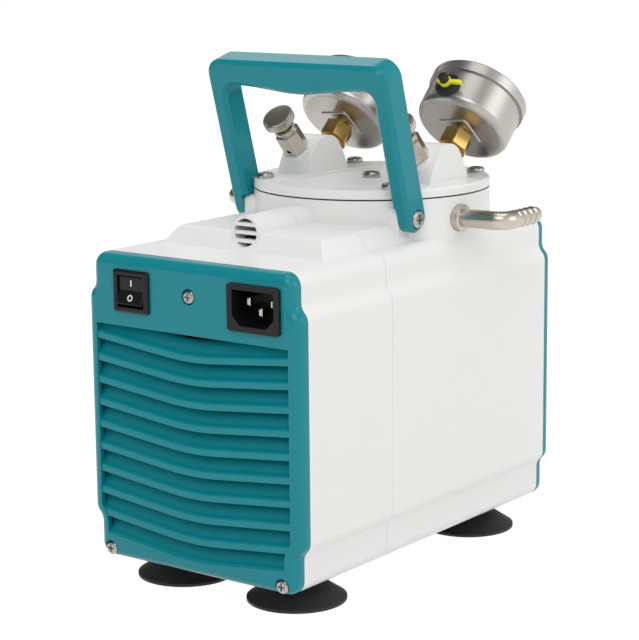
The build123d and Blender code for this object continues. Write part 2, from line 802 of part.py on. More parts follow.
disc_z = rest_middle_z - rod_disc
with BuildPart() as diaphragm_clamp:
    add(turned(head_line, ((0, disc_z - 3), (clamp_stem, disc_z - 3), (clamp_stem, clamp_z),
                           (clamp_radius, clamp_z), (clamp_radius, clamp_z + 1),
                           (clamp_radius - 2, clamp_z + clamp_thickness),
                           (0, clamp_z + clamp_thickness))))
save(diaphragm_clamp.part, "diaphragm_clamp")

with BuildPart() as connecting_rod:
    add(ring(head_line, clamp_stem, clamp_radius, disc_z, rest_middle_z))
    rod_length = disc_z - rest_crank_z
    with Locations((0, head_y, rest_crank_z + rod_length / 2)):
        Box(rod_width, rod_depth, rod_length)
    with BuildSketch(Plane.XY.offset(disc_z - 10)):
        with Locations((0, head_y)):
            Rectangle(rod_width, rod_depth)
    with BuildSketch(Plane.XY.offset(disc_z)):
        with Locations((0, head_y)):
            Rectangle(1.8 * rod_width, 1.8 * rod_depth)
    loft()
    # grooves that leave an I section
    for side in (-1, 1):
        with Locations((0, head_y + side * rod_depth / 2, rest_crank_z + rod_length / 2 + 4)):
            Box(rod_width - 6, rod_depth - 3, rod_length - 42, mode=Mode.SUBTRACT)
    add(ring(crank_line, rod_bearing_radius, rod_bearing_radius + 5,
             head_y - rod_half, head_y + rod_half))
    with BuildSketch(facing(head_y - rod_half)):
        with Locations((0, rest_crank_z)):
            Circle(rod_bearing_radius)
    extrude(amount=-2 * rod_half, mode=Mode.SUBTRACT)
    with BuildSketch(Plane.XY.offset(disc_z)):
        with Locations((0, head_y)):
            Circle(clamp_stem)
    extrude(amount=-3, mode=Mode.SUBTRACT)
save(connecting_rod.part, "connecting_rod")
save(ring(crank_line, eccentric_radius + running, rod_bearing_radius,
          head_y - rod_half + 1, head_y + rod_half - 1), "rod_bearing")

with BuildPart() as eccentric:
    add(ring(crank_line, 0, eccentric_radius, head_y - crank_half, head_y + crank_half))
    with BuildSketch(facing(head_y - crank_half)):
        with Locations((0, shaft_z)):
            Circle(counterweight_radius)
            with Locations((0, -counterweight_radius)):
                Rectangle(2 * counterweight_radius, 2 * counterweight_radius, mode=Mode.SUBTRACT)
            Circle(eccentric_radius + 3)
    extrude(amount=counterweight_width)
    with BuildSketch(facing(head_y + crank_half)):
        with Locations((0, shaft_z)):
            Circle(shaft_radius)
    extrude(amount=2 * crank_half + counterweight_width, mode=Mode.SUBTRACT)
save(eccentric.part, "eccentric")

# ---------------------------------------------------------------- motor
shaft_start = fan_front - 2
shaft_end = head_y + crank_half + 1.5
save(turned(shaft_line, ((0, shaft_start), (shaft_radius - 0.6, shaft_start),
                         (shaft_radius, shaft_start + 0.6), (shaft_radius, shaft_end),
                         (0, shaft_end))), "rotor_shaft")

rotor_radius = stator_bore - air_gap
with BuildPart() as rotor_core:
    add(ring(shaft_line, shaft_radius, rotor_radius, stator_front, stator_rear))
    for start, end in ((stator_front - 4, stator_front), (stator_rear, stator_rear + 4)):
        add(ring(shaft_line, rotor_radius - 9, rotor_radius - 2, start, end))
save(rotor_core.part, "rotor_core")

with BuildPart() as cooling_fan:
    add(ring(shaft_line, shaft_radius, fan_hub, fan_front, fan_rear))
    add(ring(shaft_line, fan_hub, fan_radius, fan_rear - 1.2, fan_rear))
    with BuildSketch(facing(fan_rear - 1.2)):
        with Locations((0, shaft_z)):
            with PolarLocations((fan_hub + fan_radius) / 2, 7):
                Rectangle(fan_radius - fan_hub - 2, 1.8, rotation=22)
    extrude(amount=fan_rear - 1.2 - fan_front)
save(cooling_fan.part, "cooling_fan")

with BuildPart() as stator_core:
    with BuildSketch(facing(stator_front)):
        with Locations((0, shaft_z)):
            Circle(stator_radius)
            Circle(stator_bore, mode=Mode.SUBTRACT)
            with PolarLocations(bolt_circle, 4, start_angle=45):
                Circle(bolt_radius + 0.1, mode=Mode.SUBTRACT)
    extrude(amount=-stator_length)
save(stator_core.part, "stator_core")

winding_inner = stator_bore + 3
winding_outer = stator_radius - 9
windings = []
for start, end in ((stator_front, stator_front - 11), (stator_rear, stator_rear + 11)):
    slope = (end - start) / 11 * 3
    windings.append(turned(shaft_line, ((winding_inner, start), (winding_outer, start),
                                        (winding_outer, end - slope), (winding_outer - 3, end),
                                        (winding_inner + 3, end), (winding_inner, end - slope))))
save(group(windings), "stator_windings")


def bracket_holes():
    """Cooling windows and bolt holes of an end bracket, as a sketch's content."""
    with PolarLocations(window_circle, 6):
        Circle(window_radius, mode=Mode.SUBTRACT)
    with PolarLocations(bolt_circle, 4, start_angle=45):
        Circle(bolt_radius + 0.1, mode=Mode.SUBTRACT)
    Circle(shaft_radius + 1, mode=Mode.SUBTRACT)


front_plate_y = stator_front - 16
with BuildPart() as motor_front_bracket:
    with BuildSketch(facing(front_plate_y)):
        with Locations((0, shaft_z)):
            Circle(stator_radius)
            bracket_holes()
    extrude(amount=-4)
    with BuildSketch(facing(front_plate_y + 4)):
        with Locations((0, shaft_z)):
            Circle(stator_radius)
            Circle(winding_outer + 2, mode=Mode.SUBTRACT)
            with PolarLocations(bolt_circle, 4, start_angle=45):
                Circle(bolt_radius + 0.1, mode=Mode.SUBTRACT)
    extrude(amount=-12)
    add(ring(shaft_line, bearing_radius, hub_radius, front_plate_y, front_plate_y + 9))
    with BuildSketch(facing(front_plate_y + 1)):
        with Locations((0, shaft_z)):
            Circle(bearing_radius)
    extrude(amount=-8, mode=Mode.SUBTRACT)
save(motor_front_bracket.part, "motor_front_bracket")

with BuildPart() as motor_rear_bracket:
    with BuildSketch(facing(bulkhead_y)):
        add(casing_outline(facing(bulkhead_y), wall + 0.3))
        with Locations((0, shaft_z)):
            bracket_holes()
            with GridLocations(2 * bracket_screw_x, 2 * bracket_screw_z, 2, 2):
                Circle(1.7, mode=Mode.SUBTRACT)
    extrude(amount=-4)
    # the plate ends below the ledge of the diaphragm chamber
    with BuildSketch(Plane.XY.offset(rim_z - ledge_height - 0.3)):
        Rectangle(casing_width, casing_length)
    extrude(amount=ledge_height + 1, mode=Mode.SUBTRACT)
    with BuildSketch(facing(bulkhead_y)):
        with Locations((0, shaft_z)):
            Circle(stator_radius)
            Circle(winding_outer + 2, mode=Mode.SUBTRACT)
            with PolarLocations(bolt_circle, 4, start_angle=45):
                Circle(bolt_radius + 0.1, mode=Mode.SUBTRACT)
    extrude(amount=bulkhead_y - stator_rear)
    add(ring(shaft_line, bearing_radius, hub_radius, bulkhead_y - 5, bulkhead_y + 4))
    with BuildSketch(facing(bulkhead_y - 5)):
        with Locations((0, shaft_z)):
            Circle(bearing_radius)
    extrude(amount=-8, mode=Mode.SUBTRACT)
save(motor_rear_bracket.part, "motor_rear_bracket")

save(group([ring(shaft_line, shaft_radius, bearing_radius, start, start + bearing_width)
            for start in (front_plate_y + 1, bulkhead_y - 5)]), "motor_bearings")

bolts = []
for index in range(4):
    angle = radians(45 + 90 * index)
    x = bolt_circle * cos(angle)
    z = shaft_z + bolt_circle * sin(angle)
    length = bulkhead_y + 4 + 5 - front_plate_y
    with BuildPart() as bolt:
        add(pan_screw(Plane(origin=(x, front_plate_y, z), x_dir=(1, 0, 0), z_dir=(0, -1, 0)),
                      bolt_radius, length, 4.2, 2.6))
        with BuildSketch(facing(bulkhead_y + 4)):
            with Locations((x, z)):
                RegularPolygon(4.2, 6)
        extrude(amount=-3.4)
    bolts.append(bolt.part)
save(group(bolts), "motor_bolts")

bracket_screws = []
for x in (-bracket_screw_x, bracket_screw_x):
    for z in (shaft_z - bracket_screw_z, shaft_z + bracket_screw_z):
        seat = Plane(origin=(x, bulkhead_y, z), x_dir=(1, 0, 0), z_dir=(0, -1, 0))
        bracket_screws.append(pan_screw(seat, 1.5, 8, 3.0, 2.0))
save(group(bracket_screws), "bracket_screws")

floor_z = casing_base + wall
can_line = along_y(can_x, floor_z + can_radius + 2)
save(turned(can_line, ((0, can_start), (can_radius - 1, can_start), (can_radius, can_start + 1),
                       (can_radius, can_end), (can_radius - 1, can_end + 1), (0, can_end + 1))),
     "capacitor")
with BuildPart() as capacitor_clip:
    with Locations((can_x, (can_start + can_end) / 2, floor_z + 4)):
        Box(2 * can_radius - 8, 8, 8)
    add(ring(can_line, can_radius, can_radius + 1.2, (can_start + can_end) / 2 - 4,
             (can_start + can_end) / 2 + 4))
    with BuildSketch(facing(can_end)):
        with Locations((can_x, floor_z + can_radius + 2)):
            Circle(can_radius)
    extrude(amount=can_end - can_start, mode=Mode.SUBTRACT)
save(capacitor_clip.part, "capacitor_clip")

# ---------------------------------------------------------------- feet
cups = []
studs = []
for x in (-foot_x, foot_x):
    for y in (-foot_y, foot_y):
        upright = Plane(origin=(x, y, 0))
        cups.append(turned(upright, ((foot_stud, cup_roof), (8, cup_roof), (20, 1.8),
                                     (foot_radius - 1.4, 0), (foot_radius, 0),
                                     (foot_radius, 1.4), (17, 6.4), (12.5, 8.6), (11, 10.4),
                                     (11, casing_base), (foot_stud, casing_base))))
        with BuildPart() as stud:
            add(turned(upright, ((0, cup_roof - 1.6), (5.5, cup_roof - 1.6), (5.5, cup_roof),
                                 (foot_stud, cup_roof), (foot_stud, floor_z + 6),
                                 (0, floor_z + 6))))
            with BuildSketch(Plane.XY.offset(floor_z)):
                with Locations((x, y)):
                    RegularPolygon(4.6, 6)
            extrude(amount=4)
        studs.append(stud.part)
save(group(cups), "suction_feet")
save(group(studs), "foot_studs")

# ---------------------------------------------------------------- hose elbows
bend_end = elbow_y + 8.5
with BuildPart() as elbow:
    with BuildLine() as bend:
        FilletPolyline((elbow_inner, elbow_y, elbow_z), (elbow_reach, elbow_y, elbow_z),
                       (elbow_reach, bend_end, elbow_z), radius=7)
    entry = Plane.YZ.offset(elbow_inner)
    with BuildSketch(entry):
        with Locations((elbow_y, elbow_z)):
            Circle(elbow_radius)
    sweep(path=bend.wire())
    tail = [(0, bend_end), (elbow_radius, bend_end), (barb_core, bend_end + 1)]
    barb_length = (elbow_y + elbow_tail - bend_end - 1) / barb_count
    for index in range(barb_count):
        start = bend_end + 1 + index * barb_length
        tail += [(elbow_radius, start + 0.6), (barb_core, start + barb_length)]
    tail.append((0, elbow_y + elbow_tail))
    add(turned(along_y(elbow_reach, elbow_z), tail))
    with BuildSketch(entry):
        with Locations((elbow_y, elbow_z)):
            Circle(elbow_bore_radius)
    sweep(path=bend.wire(), mode=Mode.SUBTRACT)
    add(ring(along_y(elbow_reach, elbow_z), 0, elbow_bore_radius, bend_end - 0.5,
             elbow_y + elbow_tail), mode=Mode.SUBTRACT)
save(elbow.part, "right_elbow")
save(mirror(elbow.part, about=Plane.YZ), "left_elbow")

along_x = Plane(origin=(0, elbow_y, elbow_z), x_dir=(0, 1, 0), z_dir=(1, 0, 0))
collar = turned(along_x, ((elbow_radius, chamber_radius + 0.6), (collar_radius, chamber_radius + 0.6),
                          (collar_radius, collar_end - 0.8), (collar_radius - 0.8, collar_end),
                          (elbow_radius, collar_end)))
save(group([collar, mirror(collar, about=Plane.YZ)]), "hose_collars")

# ---------------------------------------------------------------- regulators
bodies = []
for side, name in ((-1, "left"), (1, "right")):
    seat = valve_plane(side)
    neck = valve_hex_length + valve_neck_length
    with BuildPart() as body:
        with BuildSketch(seat):
            RegularPolygon(valve_hex / 2, 6, major_radius=False, rotation=valve_hex_turn)
        extrude(amount=valve_hex_length)
        add(turned(seat, ((0, -9), (valve_bore_radius - 0.1, -9), (valve_bore_radius - 0.1, 0),
                          (valve_neck_radius, 0), (valve_neck_radius, neck - 1.6),
                          (valve_neck_radius + 0.5, neck - 1.6), (valve_neck_radius + 0.5, neck - 0.6),
                          (valve_neck_radius - 0.1, neck), (0, neck))))
        add(ring(seat, 0, stem_radius + running, 3.5, neck), mode=Mode.SUBTRACT)
        add(ring(seat, 0, 1.2, -9, 3.5), mode=Mode.SUBTRACT)
        across = Plane(origin=seat.from_local_coords((0, 0, bleed_height)),
                       x_dir=seat.x_dir, z_dir=seat.y_dir)
        with BuildSketch(across):
            Circle(bleed_radius)
        extrude(amount=valve_hex, both=True, mode=Mode.SUBTRACT)
    bodies.append(body.part)
    stem_end = neck + knob_gap + knob_hub_length + knob_rim - 2
    save(turned(seat, ((0, 2.6), (stem_radius, 5.2), (stem_radius, stem_end), (0, stem_end))),
         f"regulator_stem_{name}")
    rim_start = neck + knob_gap + knob_hub_length
    with BuildPart() as knob:
        add(turned(seat, ((0, neck + knob_gap), (5, neck + knob_gap), (5, rim_start),
                          (knob_radius - 0.5, rim_start), (knob_radius, rim_start + 0.5),
                          (knob_radius, rim_start + knob_rim - 0.5),
                          (knob_radius - 0.5, rim_start + knob_rim), (0, rim_start + knob_rim))))
        with BuildSketch(seat.offset(rim_start)):
            with PolarLocations(knob_radius, knob_flutes):
                Rectangle(0.7, 0.7, rotation=45)
        extrude(amount=knob_rim, mode=Mode.SUBTRACT)
        add(ring(seat, 0, stem_radius + running, neck, stem_end + 0.2), mode=Mode.SUBTRACT)
    save(knob.part, f"regulator_knob_{name}")
save(group(bodies), "regulator_bodies")

# ---------------------------------------------------------------- gauges
sockets, cases, bezels, windows, dials, movements, plugs = [], [], [], [], [], [], []
case_front = gauge_case_depth
bezel_front = gauge_case_depth + gauge_bezel_depth
for side, name in ((-1, "left"), (1, "right")):
    back = gauge_plane(side)
    with BuildPart() as socket:
        hex_start = -gauge_neck_length - gauge_hex_length
        with BuildSketch(back.offset(hex_start)):
            RegularPolygon(gauge_hex / 2, 6, major_radius=False, rotation=gauge_hex_turn)
        extrude(amount=gauge_hex_length)
        add(turned(back, ((0, -gauge_seat - 8), (valve_bore_radius - 0.1, -gauge_seat - 8),
                          (valve_bore_radius - 0.1, -gauge_seat), (5, -gauge_seat),
                          (5, hex_start), (gauge_neck, hex_start), (gauge_neck, 6), (0, 6))))
        add(ring(back, 0, 1.2, -gauge_seat - 8, 4), mode=Mode.SUBTRACT)
    sockets.append(socket.part)

    relief = Plane(origin=back.from_local_coords((0, 0, plug_offset)),
                   x_dir=(1, 0, 0), z_dir=-back.y_dir)
    with BuildPart() as case:
        with BuildSketch(back):
            Circle(gauge_radius)
        extrude(amount=case_front)
        fillet(case.faces().sort_by(Axis(back.origin, back.z_dir))[0].edges(), radius=4)
        with BuildSketch(back.offset(gauge_shell)):
            Circle(gauge_radius - gauge_shell)
        extrude(amount=case_front, mode=Mode.SUBTRACT)
        with BuildSketch(back):
            Circle(gauge_neck)
        extrude(amount=gauge_shell, mode=Mode.SUBTRACT)
        with BuildSketch(relief.offset(gauge_radius - 3)):
            Circle(plug_stem)
        extrude(amount=4, mode=Mode.SUBTRACT)
    cases.append(case.part)
    inside = gauge_radius - gauge_shell
    bezels.append(turned(back, ((inside, case_front), (gauge_bezel_radius, case_front),
                                (gauge_bezel_radius, bezel_front - 1.2),
                                (gauge_bezel_radius - 1.2, bezel_front),
                                (inside - 1.6, bezel_front), (inside - 1.6, bezel_front - 1.2),
                                (inside, bezel_front - 1.2))))
    windows.append(ring(back, 0, inside, bezel_front - 3.2, bezel_front - 1.2))
    dials.append(ring(back, 1.3, inside, case_front - 1, case_front - 0.2))

    with BuildPart() as movement:
        with BuildSketch(back.offset(6)):
            Rectangle(8, 10)
        extrude(amount=6)
        with BuildSketch(back.offset(7)):
            with Locations((bourdon_radius / 2, 0)):
                Rectangle(bourdon_radius, 4)
        extrude(amount=3)
        add(turned(back, ((bourdon_radius - 1, 7), (bourdon_radius + 1, 7),
                          (bourdon_radius + 1, 12), (bourdon_radius - 1, 12)), arc=260))
        add(ring(back, 0, spindle_radius + running, 9, 12), mode=Mode.SUBTRACT)
    movements.append(movement.part)

    hand = case_front + 1.2
    with BuildPart() as pointer:
        add(turned(back, ((0, 9.4), (spindle_radius, 9.4), (spindle_radius, hand - 0.6),
                          (2.2, hand - 0.6), (2.2, hand + 1.0), (0, hand + 1.0))))
        with BuildSketch(back.offset(hand)):
            with BuildLine():
                Polyline((-1.5, -7), (1.5, -7), (0.9, 4), (0.25, 19), (-0.25, 19), (-0.9, 4),
                         close=True)
            make_face()
        extrude(amount=0.7)
    zero = 135 * side
    save(pointer.part.rotate(Axis(back.origin, back.z_dir), zero), f"gauge_pointer_{name}")

    top = gauge_radius + plug_height
    with BuildPart() as plug:
        add(turned(relief, ((0, gauge_radius - 2.6), (plug_stem, gauge_radius - 2.6),
                            (plug_stem, gauge_radius - 1), (plug_radius, gauge_radius - 1),
                            (plug_radius, top - 0.6), (plug_radius - 0.6, top), (1.8, top),
                            (1.8, top + 2.4), (2.5, top + 2.4), (2.5, top + 5.4), (1.9, top + 6),
                            (0, top + 6))))
        with BuildPart(mode=Mode.PRIVATE) as round_case:
            with BuildSketch(back.offset(-1)):
                Circle(gauge_radius)
            extrude(amount=case_front + 1)
            add(ring(relief, 0, plug_stem, gauge_radius - 5, gauge_radius + 1),
                mode=Mode.SUBTRACT)
        add(round_case.part, mode=Mode.SUBTRACT)
    plugs.append(plug.part)
    with BuildPart() as lever:
        with BuildSketch(relief.offset(top + 0.1)):
            Circle(4.5)
            with Locations((lever_reach / 2, 0)):
                Rectangle(lever_reach, 3)
            Circle(1.8 + running, mode=Mode.SUBTRACT)
        extrude(amount=2.2)
    save(lever.part, f"vent_lever_{name}")
save(group(sockets), "gauge_sockets")
save(group(cases), "gauge_cases")
save(group(bezels), "gauge_bezels")
save(group(windows), "gauge_windows")
save(group(dials), "gauge_dials")
save(group(movements), "gauge_movements")
save(group(plugs), "vent_plugs")

# ---------------------------------------------------------------- switch and inlet
with BuildPart() as switch_frame:
    with BuildSketch(facing(-half_length - switch_proud)):
        with Locations((switch_x, switch_z)):
            RectangleRounded(*switch_bezel, 1.2)
    extrude(amount=-switch_proud)
    chamfer(switch_frame.faces().sort_by(Axis.Y)[0].edges(), length=0.7)
    with BuildSketch(facing(-half_length)):
        with Locations((switch_x, switch_z)):
            Rectangle(switch_opening[0] + 2.6, switch_opening[1] + 2.6)
    extrude(amount=-switch_depth)
    with BuildSketch(facing(-half_length - switch_proud)):
        with Locations((switch_x, switch_z)):
            Rectangle(*switch_opening)
    extrude(amount=-(switch_proud + switch_depth - 6), mode=Mode.SUBTRACT)
save(switch_frame.part, "switch_frame")

with BuildPart() as switch_rocker:
    pivot_y = -half_length + rocker_depth
    half = rocker_half
    with BuildSketch(Plane.YZ.offset(switch_x - switch_opening[0] / 2 + 0.3)):
        with BuildLine():
            Polyline((pivot_y + 3, switch_z - half), (pivot_y - 4.2, switch_z - half),
                     (pivot_y - 3.2, switch_z), (pivot_y - 4.2, switch_z + half),
                     (pivot_y + 3, switch_z + half), close=True)
        make_face()
    extrude(amount=switch_opening[0] - 0.6)
on_side = switch_rocker.part.rotate(Axis((0, pivot_y, switch_z), (1, 0, 0)), -rocker_tilt)
save(on_side, "switch_rocker")

with BuildPart() as inlet_socket:
    with BuildSketch(facing(-half_length - inlet_proud)):
        with Locations((inlet_x, inlet_z)):
            RectangleRounded(*inlet_bezel, 2.0)
    extrude(amount=-inlet_proud)
    with BuildSketch(facing(-half_length)):
        with Locations((inlet_x, inlet_z)):
            Rectangle(inlet_cavity[0] + 2.8, inlet_cavity[1] + 2.8)
    extrude(amount=-inlet_depth)
    half_w, half_h = inlet_cavity[0] / 2, inlet_cavity[1] / 2
    with BuildSketch(facing(-half_length - inlet_proud)):
        with Locations((inlet_x, inlet_z)):
            Polygon((-half_w, half_h), (-half_w, -half_h + inlet_corner),
                    (-half_w + inlet_corner, -half_h), (half_w - inlet_corner, -half_h),
                    (half_w, -half_h + inlet_corner), (half_w, half_h), align=None)
    extrude(amount=-inlet_cavity_depth, mode=Mode.SUBTRACT)
    for x, z in pin_places:
        with Locations((inlet_x + x, -half_length + inlet_depth / 2 + 6, inlet_z + z)):
            Box(2, inlet_depth, 4, mode=Mode.SUBTRACT)
save(inlet_socket.part, "inlet_socket")

pins = []
for x, z in pin_places:
    with BuildPart() as pin:
        with Locations((inlet_x + x, -half_length + inlet_depth / 2 + pin_setback, inlet_z + z)):
            Box(2, inlet_depth, 4)
        chamfer(pin.faces().sort_by(Axis.Y)[0].edges(), length=0.6)
    pins.append(pin.part)
save(group(pins), "inlet_pins")
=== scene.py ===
"""Looks of the diaphragm vacuum pump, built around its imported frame."""

import json
from math import cos, pi, radians, sin

import bmesh
import bpy
from bpy.props import FloatProperty, FloatVectorProperty, IntProperty, PointerProperty
from mathutils import Matrix, Vector


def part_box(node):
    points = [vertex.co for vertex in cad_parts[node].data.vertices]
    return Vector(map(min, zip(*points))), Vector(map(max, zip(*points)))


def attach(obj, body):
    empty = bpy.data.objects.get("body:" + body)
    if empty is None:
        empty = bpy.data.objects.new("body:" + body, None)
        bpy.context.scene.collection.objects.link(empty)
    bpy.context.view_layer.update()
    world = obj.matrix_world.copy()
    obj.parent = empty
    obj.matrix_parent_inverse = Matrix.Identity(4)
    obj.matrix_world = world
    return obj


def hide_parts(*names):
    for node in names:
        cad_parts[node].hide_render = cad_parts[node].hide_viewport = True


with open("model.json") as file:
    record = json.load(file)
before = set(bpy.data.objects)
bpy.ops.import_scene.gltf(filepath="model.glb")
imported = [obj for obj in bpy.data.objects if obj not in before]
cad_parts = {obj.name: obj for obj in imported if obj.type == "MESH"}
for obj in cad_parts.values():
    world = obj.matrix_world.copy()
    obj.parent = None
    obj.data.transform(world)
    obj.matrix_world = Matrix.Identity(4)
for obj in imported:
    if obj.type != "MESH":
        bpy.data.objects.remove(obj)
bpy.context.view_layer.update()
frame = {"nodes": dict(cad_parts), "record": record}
home = {node: body for body, nodes in frame["record"]["behaviour"]["bodies"].items()
        for node in nodes}

bl_info = {
    "name": "Diaphragm Vacuum Pump",
    "version": (1, 0, 0),
    "blender": (4, 5, 0),
    "location": "View3D > Sidebar > Pump",
    "description": "Builds the finishes and fine parts of a bench vacuum pump",
    "category": "Object",
}

# places of the moving and added parts, in metres
TOWER_X = 0.038                  # the towers stand this far to each side
GAUGE_TILT = radians(45)         # gauges lean to the rear, regulators to the front
GAUGE_BACK = (0.0635, 0.2146)    # Y and Z of a gauge's back, on its axis
DIAL_FACE = 0.0194               # along a gauge's axis, from its back
PIN_ALONG = 0.0084               # the relief plug's pin, along that axis
PIN_OUT = 0.0277                 # and out from it
VALVE_TILT = radians(-42)
VALVE_SEAT = (0.0231, 0.2048)    # Y and Z of a regulator's seat, on its axis
KNOB_START = 0.0173              # along a regulator's axis, from its seat
ROCKER_REST = radians(-8)        # the switch rests with its upper end pressed in
ROCKER_SLOPE = radians(8.25)     # each half of the rocker's face leans by this
ROCKER_AXIS = 0.0043             # behind the front of the switch's frame
ROCKER_RIDGE = 0.0032            # from that axis to the ridge between the two halves
MARK_OUT = 0.0036                # from the ridge to the middle of each mark
SIDES = ((-1, "left"), (1, "right"))

# widths of the rounded edges, where the casing's doesn't hold
COVER_SHARE = 0.6                # of the casing's
HEAD_EDGE = 0.0014
HANDLE_EDGE = 0.0010
ROCKER_EDGE = 0.0005
FITTING_EDGE = 0.0004
SOCKET_EDGE = 0.0003

SAME_CORNER = 0.000002           # corners closer than this become one
SAME_FACE = radians(0.8)         # and so do faces that differ by less than this
ROUNDED_TURN = radians(34)       # edges that turn by more than this are rounded
SHELL_TURN = radians(38)         # and beyond these turns shading breaks: rounded pieces,
CAD_TURN = radians(35)           # pieces shown as they are,
LATHE_TURN = radians(30)         # turned pieces
BEAD_TURN = radians(40)          # and beads
CIRCLE_SIDES = 40

# the wandering of colour and roughness
FINE_SHARE = 0.35                # of the fine noise beside the broad one
ROUGH_SHARE = 0.16               # of both in the roughness

# knob, turned from (radius, distance along its axis), and the ridges round it
KNOB_RADIUS = 0.0077
KNOB_PROFILE = ((0.00268, 0.0056), (0.00268, 0), (0.0046, 0), (0.005, 0.0004),
                (0.005, 0.0026), (0.0073, 0.0026), (KNOB_RADIUS, 0.003),
                (KNOB_RADIUS, 0.0066), (0.0073, 0.0071), (0.0069, 0.0072), (0, 0.0072))
FLUTE_MIDDLE = 0.0048
FLUTE_SIZE = (0.00095, 0.00095, 0.0037)

# dial: its first and last number anticlockwise, and the radius and size of its lines
DIAL_ENDS = {"left": (0, 10), "right": (5, 0)}
FINE_LINE = (0.0205, (0.0012, 0.00022, 0.0001))
MAIN_LINE = (0.0199, (0.0024, 0.0005, 0.0001))
NUMBER_RADIUS = 0.0158
NUMBER_HEIGHT = 0.0042
NUMBER_DEPTH = 0.00004

# hand: its outline along local X from the pin, its height above the dial, and the pin
HAND_OUTLINE = ((-0.007, -0.0014), (0.004, -0.0009), (0.019, -0.0002),
                (0.019, 0.0002), (0.004, 0.0009), (-0.007, 0.0014))
HAND_THICKNESS = 0.0007
HAND_LIFT = 0.0014
SPINDLE_PROFILE = ((0, -0.01), (0.0009, -0.01), (0.0009, 0.0008), (0.0022, 0.0008),
                   (0.0022, 0.0022), (0.0019, 0.0024), (0, 0.0024))

# raised line on a gauge's back
BACK_LINE = ((-0.0095, -0.007), (0.0052, -0.0083), (0.0064, -0.0072), (0.0078, 0.008))
BACK_LINE_RADIUS = 0.0009

# relief lever: an eye round the pin, a long arm and a short one
EYE_RADIUS = 0.0031
EYE_HOLE = 0.0019
EYE_THICKNESS = 0.0018
ARM_THICKNESS = 0.0020
LEVER_ARMS = (
    ((0.0021, -0.0009), (0.0092, -0.0009), (0.0098, -0.0003), (0.0098, 0.0003),
     (0.0092, 0.0009), (0.0021, 0.0009)),
    ((-0.0043, -0.0012), (-0.0021, -0.0009), (-0.0021, 0.0009), (-0.0043, 0.0012)))

# marks of the rocker: a bar and a ring
BAR_OUTLINE = ((-0.0004, -0.0015), (0.0004, -0.0015), (0.0004, 0.0015), (-0.0004, 0.0015))
RING_RADIUS = 0.0016
RING_HOLE = 0.0010
MARK_THICKNESS = 0.0001

# lights: name, place, size and share of the main light's power
LIGHTS = (("key_light", (0.9, -1.5, 1.9), 1.3, 1.0),
          ("side_light", (1.9, 0.5, 1.0), 1.2, 0.45),
          ("rear_light", (-1.5, 1.4, 1.5), 1.4, 0.5),
          ("top_light", (0.2, 0.1, 2.2), 1.2, 0.6))
LIT_POINT = (0, 0, 0.13)
FLOOR_HALF = 4.0
FLOOR_GLOW = 1.12
GLOW_SHARE = 0.86                    # of the floor's glow where it is seen
BRIGHT_SIDE = (0.75, 0.15, -0.64)    # where mirrors see the brightest surroundings

# slot: colour, or the setting that holds it, then roughness and other traits
FINISHES = {
    "white_coat": ("casing", 0.34,
                   dict(variation=0.03, grain=1400, relief=0.00002, specular=0.45)),
    "teal_plastic": ("teal", 0.20,
                     dict(variation=0.10, grain=1800, relief=0.00001, specular=0.32)),
    "black_plastic": ((0.008, 0.008, 0.009), 0.30,
                      dict(variation=0.2, grain=2500, relief=0.00002, specular=0.3)),
    "rubber": ((0.010, 0.010, 0.011), 0.52,
               dict(variation=0.3, grain=700, relief=0.00003)),
    "nickel": ("nickel", 0.25,
               dict(metallic=1.0, variation=0.16, grain=900, relief=0.00002)),
    "brass": ("brass", 0.20,
              dict(metallic=1.0, variation=0.25, grain=900, relief=0.000015)),
    "stainless": ("stainless", 0.30,
                  dict(metallic=1.0, variation=0.10, grain=260, relief=0.000006,
                       stretch=(9, 1, 1))),
    "screw_steel": ((0.42, 0.41, 0.40), 0.20,
                    dict(metallic=1.0, variation=0.12, grain=1500, relief=0.00001)),
    "dial_white": ((0.82, 0.82, 0.80), 0.45, dict(variation=0.02)),
    "pointer_black": ((0.015, 0.015, 0.015), 0.4, dict(variation=0.2)),
    "lever_yellow": ("lever", 0.35, dict(variation=0.08)),
    "cast_aluminium": ((0.48, 0.48, 0.49), 0.42,
                       dict(metallic=1.0, variation=0.14, grain=1100, relief=0.00005)),
    "core_steel": ((0.16, 0.16, 0.17), 0.45,
                   dict(metallic=0.9, variation=0.2, grain=260, relief=0.0001,
                        stretch=(0.1, 6, 0.1))),
    "copper_wire": ((0.42, 0.14, 0.04), 0.35,
                    dict(metallic=0.7, variation=0.3, grain=900, relief=0.0001)),
    "fan_plastic": ((0.030, 0.032, 0.035), 0.45, dict(variation=0.15)),
}


# ---------------------------------------------------------------- settings
class PumpSizes(bpy.types.PropertyGroup):
    """Sizes of the fine parts."""

    edge: FloatProperty(name="Edge Radius", description="Rounding of the moulded edges",
                        default=0.0006, unit="LENGTH")
    flutes: IntProperty(name="Knob Flutes", description="Ridges round a regulator knob",
                        default=44, min=12)
    fine_ticks: IntProperty(name="Fine Ticks", description="Fine lines of a dial's scale",
                            default=51, min=11)
    main_ticks: IntProperty(name="Main Ticks", description="Bold lines of a dial's scale",
                            default=6, min=2)
    dial_sweep: FloatProperty(name="Dial Sweep", description="Angle that a scale covers",
                              default=radians(270), subtype="ANGLE")


